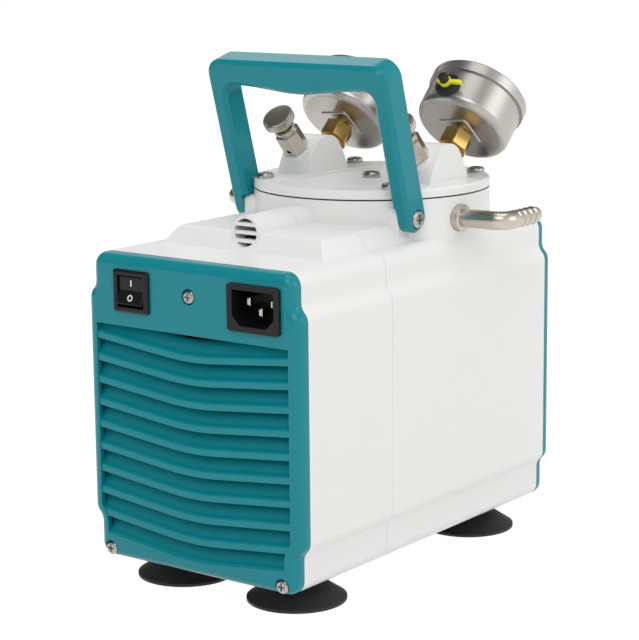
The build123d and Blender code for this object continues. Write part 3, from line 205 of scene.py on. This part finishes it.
class PumpFinishes(bpy.types.PropertyGroup):
    """Colours of the main finishes."""

    casing: FloatVectorProperty(name="Casing", description="Powder coat of the casing",
                                default=(0.82, 0.815, 0.805), subtype="COLOR", size=3)
    teal: FloatVectorProperty(name="Covers", description="Moulded covers and handle",
                              default=(0.002, 0.228, 0.272), subtype="COLOR", size=3)
    nickel: FloatVectorProperty(name="Nickel", description="Plated fittings",
                                default=(0.58, 0.53, 0.46), subtype="COLOR", size=3)
    brass: FloatVectorProperty(name="Brass", description="Gauge sockets",
                               default=(0.60, 0.40, 0.13), subtype="COLOR", size=3)
    stainless: FloatVectorProperty(name="Stainless", description="Gauge cases",
                                   default=(0.50, 0.475, 0.45), subtype="COLOR", size=3)
    lever: FloatVectorProperty(name="Lever", description="Vent levers of the gauges",
                               default=(0.85, 0.80, 0.04), subtype="COLOR", size=3)


class PumpStage(bpy.types.PropertyGroup):
    """Camera and light."""

    eye: FloatVectorProperty(name="Eye", description="Place of the camera",
                             default=(0.64187, -0.85949, 0.33298), unit="LENGTH", size=3)
    azimuth: FloatProperty(name="Azimuth", description="Camera turned round the object",
                           default=radians(37.039), subtype="ANGLE")
    elevation: FloatProperty(name="Elevation", description="Camera above the level",
                             default=radians(11.174), subtype="ANGLE")
    roll: FloatProperty(name="Roll", description="Camera turned on its own axis",
                        default=radians(-0.58), subtype="ANGLE")
    lens: FloatProperty(name="Lens", description="Focal length", default=120.19,
                        unit="CAMERA")
    ambient: FloatProperty(name="Ambient", description="Strength of the surrounding light",
                           default=0.70)
    key: FloatProperty(name="Key", description="Power of the main soft light", default=12.5,
                       unit="POWER")


# ---------------------------------------------------------------- node helpers
def feed(tree, node, *sources, **named):
    """Gives a node's inputs, in order or by name, a value or a link from a socket."""
    by_name = [(name.replace("_", " "), source) for name, source in named.items()]
    for key, source in [*enumerate(sources), *by_name]:
        if isinstance(source, bpy.types.NodeSocket):
            tree.links.new(source, node.inputs[key])
        else:
            node.inputs[key].default_value = source
    return node


def add_node(tree, kind, *sources, settings=None, **named):
    """A node with its settings and its inputs."""
    node = tree.nodes.new(kind)
    for name, value in (settings or {}).items():
        setattr(node, name, value)
    return feed(tree, node, *sources, **named)


def calculated(tree, operation, *sources, kind="ShaderNodeMath"):
    """The result of a calculation with values or sockets."""
    return add_node(tree, kind, *sources, settings={"operation": operation}).outputs[0]


def picked(tree, switch, low, high):
    """The low value or socket where the switch is zero, and the high one where it is one."""
    chosen = add_node(tree, "ShaderNodeMapRange", Value=switch, To_Min=low, To_Max=high)
    return chosen.outputs[0]


def ray_is(tree, *kinds):
    """One where the ray is of one of the kinds."""
    path = add_node(tree, "ShaderNodeLightPath")
    found, *others = [path.outputs[f"Is {kind} Ray"] for kind in kinds]
    for other in others:
        found = calculated(tree, "MAXIMUM", found, other)
    return found


def new_tree(name, kind, inputs, outputs):
    """A node group with named inputs (name, type, default) and outputs (name, type)."""
    tree = bpy.data.node_groups.new(name, kind)
    for label, socket, value in inputs:
        made = tree.interface.new_socket(name=label, in_out="INPUT", socket_type=socket)
        if value is not None:
            made.default_value = value
    for label, socket in outputs:
        tree.interface.new_socket(name=label, in_out="OUTPUT", socket_type=socket)
    return tree, tree.nodes.new("NodeGroupInput"), tree.nodes.new("NodeGroupOutput")


def uneven_skin():
    """Colour and roughness that wander a little, and a fine relief."""
    name = "uneven_skin"
    if name in bpy.data.node_groups:
        return bpy.data.node_groups[name]
    tree, given, made = new_tree(
        name, "ShaderNodeTree",
        [("Colour", "NodeSocketColor", (0.8, 0.8, 0.8, 1)),
         ("Roughness", "NodeSocketFloat", 0.4), ("Variation", "NodeSocketFloat", 0.05),
         ("Grain", "NodeSocketFloat", 900.0), ("Stretch", "NodeSocketVector", (1, 1, 1))],
        [("Colour", "NodeSocketColor"), ("Roughness", "NodeSocketFloat"),
         ("Height", "NodeSocketFloat")])
    place = add_node(tree, "ShaderNodeTexCoord").outputs["Object"]
    stretched = calculated(tree, "MULTIPLY", place, given.outputs["Stretch"],
                           kind="ShaderNodeVectorMath")
    broad = add_node(tree, "ShaderNodeTexNoise", Vector=stretched, Scale=22.0, Detail=4.0,
                     Roughness=0.55)
    fine = add_node(tree, "ShaderNodeTexNoise", Vector=stretched,
                    Scale=given.outputs["Grain"], Detail=3.0, Roughness=0.6)
    centred = calculated(tree, "SUBTRACT", broad.outputs["Fac"], 0.5)
    both = calculated(tree, "MULTIPLY_ADD", fine.outputs["Fac"], FINE_SHARE, centred)
    shade = calculated(tree, "MULTIPLY_ADD", both, given.outputs["Variation"], 1.0)
    tinted = add_node(tree, "ShaderNodeVectorMath", given.outputs["Colour"],
                      settings={"operation": "SCALE"}, Scale=shade)
    rough = add_node(tree, "ShaderNodeMath", both, ROUGH_SHARE, given.outputs["Roughness"],
                     settings={"operation": "MULTIPLY_ADD", "use_clamp": True})
    feed(tree, made, Colour=tinted.outputs[0], Roughness=rough.outputs[0],
         Height=fine.outputs["Fac"])
    return tree


def new_material(name):
    """A material with its node tree and its main shader."""
    material = bpy.data.materials.new(name)
    material.use_nodes = True
    tree = material.node_tree
    return material, tree, tree.nodes["Principled BSDF"]


def finish(name, colour, roughness, variation, metallic=0.0, grain=900.0,
           relief=0.00001, stretch=(1, 1, 1), specular=0.5):
    """A material whose colour, roughness and relief come from the uneven skin."""
    name = f"{name}_finish"
    if name in bpy.data.materials:
        return bpy.data.materials[name]
    material, tree, shader = new_material(name)
    skin = add_node(tree, "ShaderNodeGroup", settings={"node_tree": uneven_skin()},
                    Colour=(*colour, 1), Roughness=roughness, Variation=variation,
                    Grain=grain, Stretch=stretch)
    bump = add_node(tree, "ShaderNodeBump", Strength=0.5, Distance=relief,
                    Height=skin.outputs["Height"])
    feed(tree, shader, Base_Color=skin.outputs["Colour"],
         Roughness=skin.outputs["Roughness"], Normal=bump.outputs["Normal"],
         Metallic=metallic, Specular_IOR_Level=specular)
    material.diffuse_color = (*colour, 1)    # in solid view
    return material


def finishes(slot):
    """The finish of a record's material slot."""
    if slot == "glass":
        return clear_glass()
    colour, roughness, traits = FINISHES[slot]
    if isinstance(colour, str):
        colour = getattr(bpy.context.scene.pump_finishes, colour)
    return finish(slot, colour, roughness, **traits)


def clear_glass():
    """Thin flat glass of the gauges."""
    name = "glass_finish"
    if name in bpy.data.materials:
        return bpy.data.materials[name]
    material, tree, shader = new_material(name)
    skin = add_node(tree, "ShaderNodeGroup", settings={"node_tree": uneven_skin()},
                    Colour=(0.97, 0.98, 0.98, 1), Roughness=0.02, Variation=0.01)
    feed(tree, shader, Base_Color=skin.outputs["Colour"], Roughness=0.03,
         Transmission_Weight=1.0, IOR=1.12)
    return material


# ---------------------------------------------------------------- mesh helpers
def keep_piece(name, mesh, slot, body, *stands_for):
    """An object at the origin that rides on a body and takes a slot's finish."""
    piece = bpy.data.objects.new(name, mesh)
    bpy.context.scene.collection.objects.link(piece)
    mesh.materials.clear()
    mesh.materials.append(finishes(slot))
    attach(piece, body)
    if stands_for:
        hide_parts(*stands_for)


def scratch(data):
    """A short-lived object, there to be settled."""
    piece = bpy.data.objects.new("scratch", data)
    bpy.context.scene.collection.objects.link(piece)
    return piece


def settled(piece):
    """A plain mesh of a scratch object with its modifiers applied; the object goes."""
    shown = piece.evaluated_get(bpy.context.evaluated_depsgraph_get())
    mesh = bpy.data.meshes.new_from_object(shown)
    bpy.data.objects.remove(piece)
    return mesh


def smooth_by_angle(mesh, limit):
    """Smooth shading that breaks at edges that turn more than the limit."""
    mesh.shade_smooth()
    mesh.set_sharp_from_angle(angle=limit)


def mesh_of(shape, name):
    """A mesh of a finished bmesh."""
    mesh = bpy.data.meshes.new(name)
    shape.to_mesh(mesh)
    shape.free()
    return mesh


def softened(slot, edge, *nodes):
    """Stands for CAD nodes: merged corners, small rounded edges and smooth curves."""
    for node in nodes:
        shape = bmesh.new()
        shape.from_mesh(frame["nodes"][node].data)
        bmesh.ops.remove_doubles(shape, verts=shape.verts, dist=SAME_CORNER)
        bmesh.ops.dissolve_limit(shape, angle_limit=SAME_FACE, verts=shape.verts,
                                 edges=shape.edges)
        mesh = mesh_of(shape, node)
        smooth_by_angle(mesh, SHELL_TURN)
        rough = scratch(mesh)
        bevel = rough.modifiers.new("rounded_edges", "BEVEL")
        bevel.width = edge
        bevel.segments = 2
        bevel.limit_method = "ANGLE"
        bevel.angle_limit = ROUNDED_TURN
        bevel.miter_outer = "MITER_ARC"
        weights = rough.modifiers.new("flat_faces_lead", "WEIGHTED_NORMAL")
        weights.keep_sharp = True
        keep_piece(f"{node}_shell", settled(rough), slot, home[node], node)


def carried(slot, *nodes):
    """CAD nodes that show as they are, in a finish."""
    for node in nodes:
        mesh = frame["nodes"][node].data
        mesh.materials.clear()
        mesh.materials.append(finishes(slot))
        smooth_by_angle(mesh, CAD_TURN)


def tilted_place(side, tilt, start, along):
    """On an axis that leans to the rear from a Y and Z, at a distance along it."""
    z_axis = Vector((0, sin(tilt), cos(tilt)))
    origin = Vector((side * TOWER_X, *start)) + along * z_axis
    return Matrix.Translation(origin) @ Matrix.Rotation(-tilt, 4, "X")


def gauge_place(side, along=0.0):
    """On a gauge's axis, at a distance from its back; local Z points out of the dial."""
    return tilted_place(side, GAUGE_TILT, GAUGE_BACK, along)


def dial_place(side):
    """In the middle of a dial's face; local Y points to the top of the scale."""
    return gauge_place(side, DIAL_FACE) @ Matrix.Rotation(pi, 4, "Z")


def valve_place(side, along):
    """On a regulator's axis, at a distance from its seat on the tower."""
    return tilted_place(side, VALVE_TILT, VALVE_SEAT, along)


def bars_on_arc():
    """Geometry group: bars set at even steps along an arc round local Z."""
    name = "bars_on_arc"
    if name in bpy.data.node_groups:
        return bpy.data.node_groups[name]
    tree, given, made = new_tree(
        name, "GeometryNodeTree",
        [("Count", "NodeSocketInt", 12), ("Start", "NodeSocketFloat", 0.0),
         ("Step", "NodeSocketFloat", 0.1), ("Radius", "NodeSocketFloat", 0.01),
         ("Size", "NodeSocketVector", (0.001, 0.001, 0.001)),
         ("Turn", "NodeSocketFloat", 0.0), ("Material", "NodeSocketMaterial", None)],
        [("Geometry", "NodeSocketGeometry")])
    row = add_node(tree, "GeometryNodeMeshLine", Count=given.outputs["Count"],
                   Offset=(0, 0, 0))
    index = add_node(tree, "GeometryNodeInputIndex").outputs[0]
    angle = calculated(tree, "MULTIPLY_ADD", index, given.outputs["Step"],
                       given.outputs["Start"])
    reach = [calculated(tree, "MULTIPLY", calculated(tree, wave, angle),
                        given.outputs["Radius"]) for wave in ("COSINE", "SINE")]
    place = add_node(tree, "ShaderNodeCombineXYZ", *reach)
    spread = add_node(tree, "GeometryNodeSetPosition", Geometry=row.outputs["Mesh"],
                      Position=place.outputs[0])
    bar = add_node(tree, "GeometryNodeMeshCube", Size=given.outputs["Size"])
    heading = calculated(tree, "ADD", angle, given.outputs["Turn"])
    facing = add_node(tree, "ShaderNodeCombineXYZ", Z=heading)
    bars = add_node(tree, "GeometryNodeInstanceOnPoints", Points=spread.outputs["Geometry"],
                    Instance=bar.outputs["Mesh"], Rotation=facing.outputs[0])
    real = add_node(tree, "GeometryNodeRealizeInstances", Geometry=bars.outputs[0])
    coated = add_node(tree, "GeometryNodeSetMaterial", Geometry=real.outputs[0],
                      Material=given.outputs["Material"])
    feed(tree, made, coated.outputs[0])
    return tree


def arc_of_bars(place, slot, **settings):
    """Plain mesh of the bars that the group makes at a place, in a slot's finish."""
    carrier = scratch(bpy.data.meshes.new("bars"))
    maker = carrier.modifiers.new("bars_on_arc", "NODES")
    maker.node_group = bars_on_arc()
    settings["Material"] = finishes(slot)
    for socket in maker.node_group.interface.items_tree:
        if socket.in_out == "INPUT":
            maker[socket.identifier] = settings.get(socket.name, socket.default_value)
    mesh = settled(carrier)
    mesh.transform(place)
    return mesh


def lathe(points, place, sides=96):
    """Mesh turned about local Z from (radius, distance) points."""
    shape = bmesh.new()
    line = [shape.verts.new((radius, 0, along)) for radius, along in points]
    edges = [shape.edges.new(pair) for pair in zip(line, line[1:])]
    bmesh.ops.spin(shape, geom=line + edges, cent=(0, 0, 0), axis=(0, 0, 1), angle=2 * pi,
                   steps=sides, use_duplicate=False)
    bmesh.ops.remove_doubles(shape, verts=shape.verts, dist=SAME_CORNER / 2)
    bmesh.ops.recalc_face_normals(shape, faces=shape.faces)
    mesh = mesh_of(shape, "turned")
    mesh.transform(place)
    smooth_by_angle(mesh, LATHE_TURN)
    return mesh


def slab(outline, hole, thickness, place):
    """Flat plate of an outline in local XY, with or without a hole of as many points."""
    shape = bmesh.new()
    low, high, hole_low, hole_high = [
        [shape.verts.new((x, y, along)) for x, y in points]
        for points in (outline, hole) for along in (0.0, thickness)]
    strips = [(low, high), (hole_high, hole_low)]
    if hole:
        strips += [(high, hole_high), (hole_low, low)]
    else:
        shape.faces.new(high)
        shape.faces.new(low[::-1])
    for a, b in strips:
        for index in range(len(a)):
            after = (index + 1) % len(a)
            shape.faces.new((a[index], a[after], b[after], b[index]))
    bmesh.ops.recalc_face_normals(shape, faces=shape.faces)
    mesh = mesh_of(shape, "slab")
    mesh.transform(place)
    return mesh


def bead(points, radius, place):
    """Rounded ridge along points in local XY."""
    line = bpy.data.curves.new("bead", "CURVE")
    line.dimensions = "3D"
    line.bevel_depth = radius
    line.bevel_resolution = 4
    line.use_fill_caps = True
    spline = line.splines.new("POLY")
    spline.points.add(len(points) - 1)
    for point, (x, y) in zip(spline.points, points):
        point.co = (x, y, 0, 1)
    mesh = settled(scratch(line))
    mesh.transform(place)
    smooth_by_angle(mesh, BEAD_TURN)
    return mesh


def circle(radius):
    """Points of a circle in local XY."""
    turns = [2 * pi * step / CIRCLE_SIDES for step in range(CIRCLE_SIDES)]
    return [(radius * cos(turn), radius * sin(turn)) for turn in turns]


def joined(meshes):
    """One mesh from several that share a finish."""
    shape = bmesh.new()
    for mesh in meshes:
        mesh.materials.clear()
        shape.from_mesh(mesh)
    for face in shape.faces:
        face.material_index = 0
    return mesh_of(shape, "joined")


def numeral(number, place):
    """Mesh of a number on a dial, centred on its place."""
    letters = bpy.data.curves.new("numeral", "FONT")
    letters.body = f"{number:g}"
    letters.size = NUMBER_HEIGHT
    letters.align_x = "CENTER"
    letters.align_y = "CENTER"
    letters.extrude = NUMBER_DEPTH
    letters.resolution_u = 3
    mesh = settled(scratch(letters))
    mesh.transform(place)
    return mesh


# ---------------------------------------------------------------- operators
class PUMP_OT_casing(bpy.types.Operator):
    """Casing: two powder-coated housings between two moulded louvred covers."""

    bl_idname = "pump.casing"
    bl_label = "Casing"

    def execute(self, context):
        edge = context.scene.pump_sizes.edge
        softened("white_coat", edge, "front_housing", "rear_housing")
        softened("teal_plastic", edge * COVER_SHARE, "front_cover", "rear_cover")
        carried("screw_steel", "cover_screws")
        return {"FINISHED"}


class PUMP_OT_head(bpy.types.Operator):
    """Pump head: plate with its two towers, gasket line, screws and valve parts."""

    bl_idname = "pump.head"
    bl_label = "Pump Head"

    def execute(self, context):
        softened("white_coat", HEAD_EDGE, "head_plate")
        carried("rubber", "head_gasket", "diaphragm", "valve_flaps")
        carried("screw_steel", "head_screws")
        carried("cast_aluminium", "valve_block", "diaphragm_clamp", "connecting_rod")
        return {"FINISHED"}


class PUMP_OT_handle(bpy.types.Operator):
    """Carrying handle with its two screws."""

    bl_idname = "pump.handle"
    bl_label = "Handle"

    def execute(self, context):
        softened("teal_plastic", HANDLE_EDGE, "handle")
        carried("screw_steel", "handle_screws")
        return {"FINISHED"}


class PUMP_OT_regulators(bpy.types.Operator):
    """Needle regulators with knurled knobs."""

    bl_idname = "pump.regulators"
    bl_label = "Regulators"

    def execute(self, context):
        softened("nickel", FITTING_EDGE, "regulator_bodies")
        count = context.scene.pump_sizes.flutes
        for side, name in SIDES:
            carried("nickel", f"regulator_stem_{name}")
            place = valve_place(side, KNOB_START)
            turned = lathe(KNOB_PROFILE, place)
            ridges = arc_of_bars(place @ Matrix.Translation((0, 0, FLUTE_MIDDLE)), "nickel",
                                 Count=count, Step=2 * pi / count, Radius=KNOB_RADIUS,
                                 Size=FLUTE_SIZE, Turn=pi / 4)
            keep_piece(f"knob_{name}", joined([turned, ridges]), "nickel", f"knob_{name}",
                       f"regulator_knob_{name}")
        return {"FINISHED"}


class PUMP_OT_gauges(bpy.types.Operator):
    """Dial gauges with their sockets, relief plugs and levers."""

    bl_idname = "pump.gauges"
    bl_label = "Gauges"

    def execute(self, context):
        softened("brass", SOCKET_EDGE, "gauge_sockets")
        carried("stainless", "gauge_cases", "gauge_bezels")
        carried("glass", "gauge_windows")
        carried("dial_white", "gauge_dials")
        carried("brass", "gauge_movements")
        carried("rubber", "vent_plugs")
        sizes = context.scene.pump_sizes
        start = pi / 2 - sizes.dial_sweep / 2
        for side, name in SIDES:
            self.lever(side, name)
            self.scale(side, name, start, sizes)
            self.hand(side, name, start, sizes)
            ridge = bead(BACK_LINE, BACK_LINE_RADIUS, gauge_place(side))
            keep_piece(f"back_ridge_{name}", ridge, "stainless", "casing")
        return {"FINISHED"}

    def lever(self, side, name):
        """Narrow yellow lever under the head of the relief plug's pin."""
        outwards = Vector((0, -sin(GAUGE_TILT), cos(GAUGE_TILT)))
        pin = gauge_place(side, PIN_ALONG).translation + PIN_OUT * outwards
        place = Matrix.Translation(pin) @ Matrix.Rotation(GAUGE_TILT, 4, "X")
        eye = slab(circle(EYE_RADIUS), circle(EYE_HOLE), EYE_THICKNESS, place)
        arms = [slab(outline, (), ARM_THICKNESS, place) for outline in LEVER_ARMS]
        keep_piece(f"relief_lever_{name}", joined([eye, *arms]), "lever_yellow",
                   f"lever_{name}", f"vent_lever_{name}")

    def scale(self, side, name, start, sizes):
        """Fine and bold lines of a dial, with a number at each bold one."""
        face = dial_place(side)
        marks = [
            arc_of_bars(face, "pointer_black", Count=count, Start=start,
                        Step=sizes.dial_sweep / (count - 1), Radius=radius, Size=size)
            for count, (radius, size) in ((sizes.fine_ticks, FINE_LINE),
                                          (sizes.main_ticks, MAIN_LINE))]
        first, last = DIAL_ENDS[name]
        for index in range(sizes.main_ticks):
            share = index / (sizes.main_ticks - 1)
            angle = start + sizes.dial_sweep * share
            middle = (NUMBER_RADIUS * cos(angle), NUMBER_RADIUS * sin(angle), NUMBER_DEPTH)
            marks.append(numeral(first + (last - first) * share,
                                 face @ Matrix.Translation(middle)))
        keep_piece(f"scale_{name}", joined(marks), "pointer_black", "casing")

    def hand(self, side, name, start, sizes):
        """Hand that rests at the zero of its scale."""
        angle = start if DIAL_ENDS[name][0] == 0 else start + sizes.dial_sweep
        zero = dial_place(side) @ Matrix.Rotation(angle, 4, "Z")
        blade = slab(HAND_OUTLINE, (), HAND_THICKNESS,
                     zero @ Matrix.Translation((0, 0, HAND_LIFT)))
        spindle = lathe(SPINDLE_PROFILE, zero, sides=32)
        keep_piece(f"hand_{name}", joined([blade, spindle]), "pointer_black",
                   f"pointer_{name}", f"gauge_pointer_{name}")


class PUMP_OT_hoses(bpy.types.Operator):
    """Barbed elbows and their collars."""

    bl_idname = "pump.hoses"
    bl_label = "Hose Elbows"

    def execute(self, context):
        carried("nickel", "left_elbow", "right_elbow", "hose_collars")
        return {"FINISHED"}


class PUMP_OT_electrics(bpy.types.Operator):
    """Rocker switch and mains inlet."""

    bl_idname = "pump.electrics"
    bl_label = "Switch and Inlet"

    def execute(self, context):
        softened("black_plastic", FITTING_EDGE, "switch_frame")
        softened("black_plastic", ROCKER_EDGE, "switch_rocker")
        softened("black_plastic", FITTING_EDGE, "inlet_socket")
        carried("nickel", "inlet_pins")
        low, high = (Vector(corner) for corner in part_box("switch_frame"))
        middle = (low + high) / 2
        axis = Matrix.Translation((middle.x, low.y + ROCKER_AXIS, middle.z))
        for name, half, outline, hole in (
                ("mark_on", 1, BAR_OUTLINE, ()),
                ("mark_off", -1, circle(RING_RADIUS), circle(RING_HOLE))):
            face = (axis @ Matrix.Rotation(ROCKER_REST, 4, "X")
                    @ Matrix.Translation((0, -ROCKER_RIDGE, 0))
                    @ Matrix.Rotation(half * ROCKER_SLOPE, 4, "X")
                    @ Matrix.Translation((0, 0, half * MARK_OUT))
                    @ Matrix.Rotation(pi / 2, 4, "X"))
            keep_piece(name, slab(outline, hole, MARK_THICKNESS, face), "dial_white",
                       "rocker")
        return {"FINISHED"}


class PUMP_OT_feet(bpy.types.Operator):
    """Suction feet and their studs."""

    bl_idname = "pump.feet"
    bl_label = "Feet"

    def execute(self, context):
        carried("rubber", "suction_feet")
        carried("screw_steel", "foot_studs")
        return {"FINISHED"}


class PUMP_OT_motor(bpy.types.Operator):
    """Motor, crank and capacitor inside the casing."""

    bl_idname = "pump.motor"
    bl_label = "Motor"

    def execute(self, context):
        carried("core_steel", "stator_core", "rotor_core", "eccentric")
        carried("copper_wire", "stator_windings")
        carried("cast_aluminium", "motor_front_bracket", "motor_rear_bracket", "capacitor")
        carried("screw_steel", "motor_bolts", "motor_bearings", "bracket_screws",
                "rotor_shaft", "rod_bearing")
        carried("fan_plastic", "cooling_fan", "capacitor_clip")
        return {"FINISHED"}


class PUMP_OT_stage(bpy.types.Operator):
    """Pale floor, soft light and the camera."""

    bl_idname = "pump.stage"
    bl_label = "Stage"

    def execute(self, context):
        stage = context.scene.pump_stage
        lay_floor()
        set_world(stage.ambient)
        for name, place, size, share in LIGHTS:
            soft_light(name, place, size, stage.key * share)
        place_camera(stage)
        context.scene.view_settings.view_transform = "Standard"
        return {"FINISHED"}


def lay_floor():
    """Wide pale floor that looks white and keeps the shadow."""
    corners = [(x * FLOOR_HALF, y * FLOOR_HALF, 0)
               for x, y in ((-1, -1), (1, -1), (1, 1), (-1, 1))]
    mesh = bpy.data.meshes.new("floor")
    mesh.from_pydata(corners, [], [(0, 1, 2, 3)])
    floor = bpy.data.objects.new("floor", mesh)
    bpy.context.scene.collection.objects.link(floor)
    material, tree, shader = new_material("pale_floor")
    feed(tree, shader, Base_Color=(0.85, 0.85, 0.85, 1), Roughness=0.9)
    glow = add_node(tree, "ShaderNodeEmission", Strength=FLOOR_GLOW)
    seen = ray_is(tree, "Camera", "Glossy", "Transmission")
    share = calculated(tree, "MULTIPLY", seen, GLOW_SHARE)
    mix = add_node(tree, "ShaderNodeMixShader", share, shader.outputs[0], glow.outputs[0])
    feed(tree, tree.nodes["Material Output"], Surface=mix.outputs[0])
    mesh.materials.append(material)


def set_world(ambient):
    """White where it is seen, graded in mirrors, and even where it only gives light."""
    world = bpy.data.worlds.new("studio")
    bpy.context.scene.world = world
    world.use_nodes = True
    tree = world.node_tree
    direction = add_node(tree, "ShaderNodeTexCoord").outputs["Generated"]
    side = add_node(tree, "ShaderNodeVectorMath", direction, BRIGHT_SIDE,
                    settings={"operation": "DOT_PRODUCT"})
    mirrored = add_node(tree, "ShaderNodeMapRange", Value=side.outputs["Value"],
                        settings={"interpolation_type": "SMOOTHSTEP"},
                        From_Min=-0.75, From_Max=0.65, To_Min=0.12, To_Max=1.0)
    unseen = picked(tree, ray_is(tree, "Glossy"), ambient, mirrored.outputs[0])
    strength = picked(tree, ray_is(tree, "Camera", "Transmission"), unseen, 1.0)
    feed(tree, tree.nodes["Background"], Color=(1, 1, 1, 1), Strength=strength)


def soft_light(name, place, size, power):
    """Square area light aimed at the middle of the pump."""
    light = bpy.data.lights.new(name, "AREA")
    light.energy = power
    light.size = size
    lamp = bpy.data.objects.new(name, light)
    lamp.location = place
    aim = Vector(LIT_POINT) - Vector(place)
    lamp.rotation_euler = aim.to_track_quat("-Z", "Y").to_euler()
    bpy.context.scene.collection.objects.link(lamp)


def place_camera(stage):
    """Camera from its azimuth, elevation and roll."""
    ahead = Vector((-sin(stage.azimuth) * cos(stage.elevation),
                    cos(stage.azimuth) * cos(stage.elevation), -sin(stage.elevation)))
    right = Vector((cos(stage.azimuth), sin(stage.azimuth), 0))
    up = right.cross(ahead)
    turned_right = cos(stage.roll) * right + sin(stage.roll) * up
    turned_up = cos(stage.roll) * up - sin(stage.roll) * right
    camera = bpy.data.objects.new("camera", bpy.data.cameras.new("camera"))
    camera.data.lens = stage.lens
    camera.matrix_world = Matrix.Translation(stage.eye) @ Matrix(
        (turned_right, turned_up, -ahead)).transposed().to_4x4()
    bpy.context.scene.collection.objects.link(camera)
    bpy.context.scene.camera = camera


OPERATORS = (PUMP_OT_casing, PUMP_OT_head, PUMP_OT_handle, PUMP_OT_regulators,
             PUMP_OT_gauges, PUMP_OT_hoses, PUMP_OT_electrics, PUMP_OT_feet, PUMP_OT_motor,
             PUMP_OT_stage)
SETTINGS = (("pump_sizes", PumpSizes), ("pump_finishes", PumpFinishes),
            ("pump_stage", PumpStage))


class PUMP_PT_panel(bpy.types.Panel):
    """Lists the settings and the building steps."""

    bl_idname = "PUMP_PT_panel"
    bl_label = "Diaphragm Vacuum Pump"
    bl_space_type = "VIEW_3D"
    bl_region_type = "UI"
    bl_category = "Pump"

    def draw(self, context):
        for name, group in SETTINGS:
            box = self.layout.box()
            for label in group.__annotations__:
                box.prop(getattr(context.scene, name), label)
        for operator in OPERATORS:
            self.layout.operator(operator.bl_idname)


def register():
    for name, group in SETTINGS:
        bpy.utils.register_class(group)
        setattr(bpy.types.Scene, name, PointerProperty(type=group))
    for operator in OPERATORS:
        bpy.utils.register_class(operator)
    bpy.utils.register_class(PUMP_PT_panel)


def unregister():
    bpy.utils.unregister_class(PUMP_PT_panel)
    for operator in reversed(OPERATORS):
        bpy.utils.unregister_class(operator)
    for name, group in reversed(SETTINGS):
        delattr(bpy.types.Scene, name)
        bpy.utils.unregister_class(group)


def main():
    register()
    for operator in OPERATORS:
        family, step = operator.bl_idname.split(".")
        getattr(getattr(bpy.ops, family), step)()


if __name__ == "__main__":
    main()
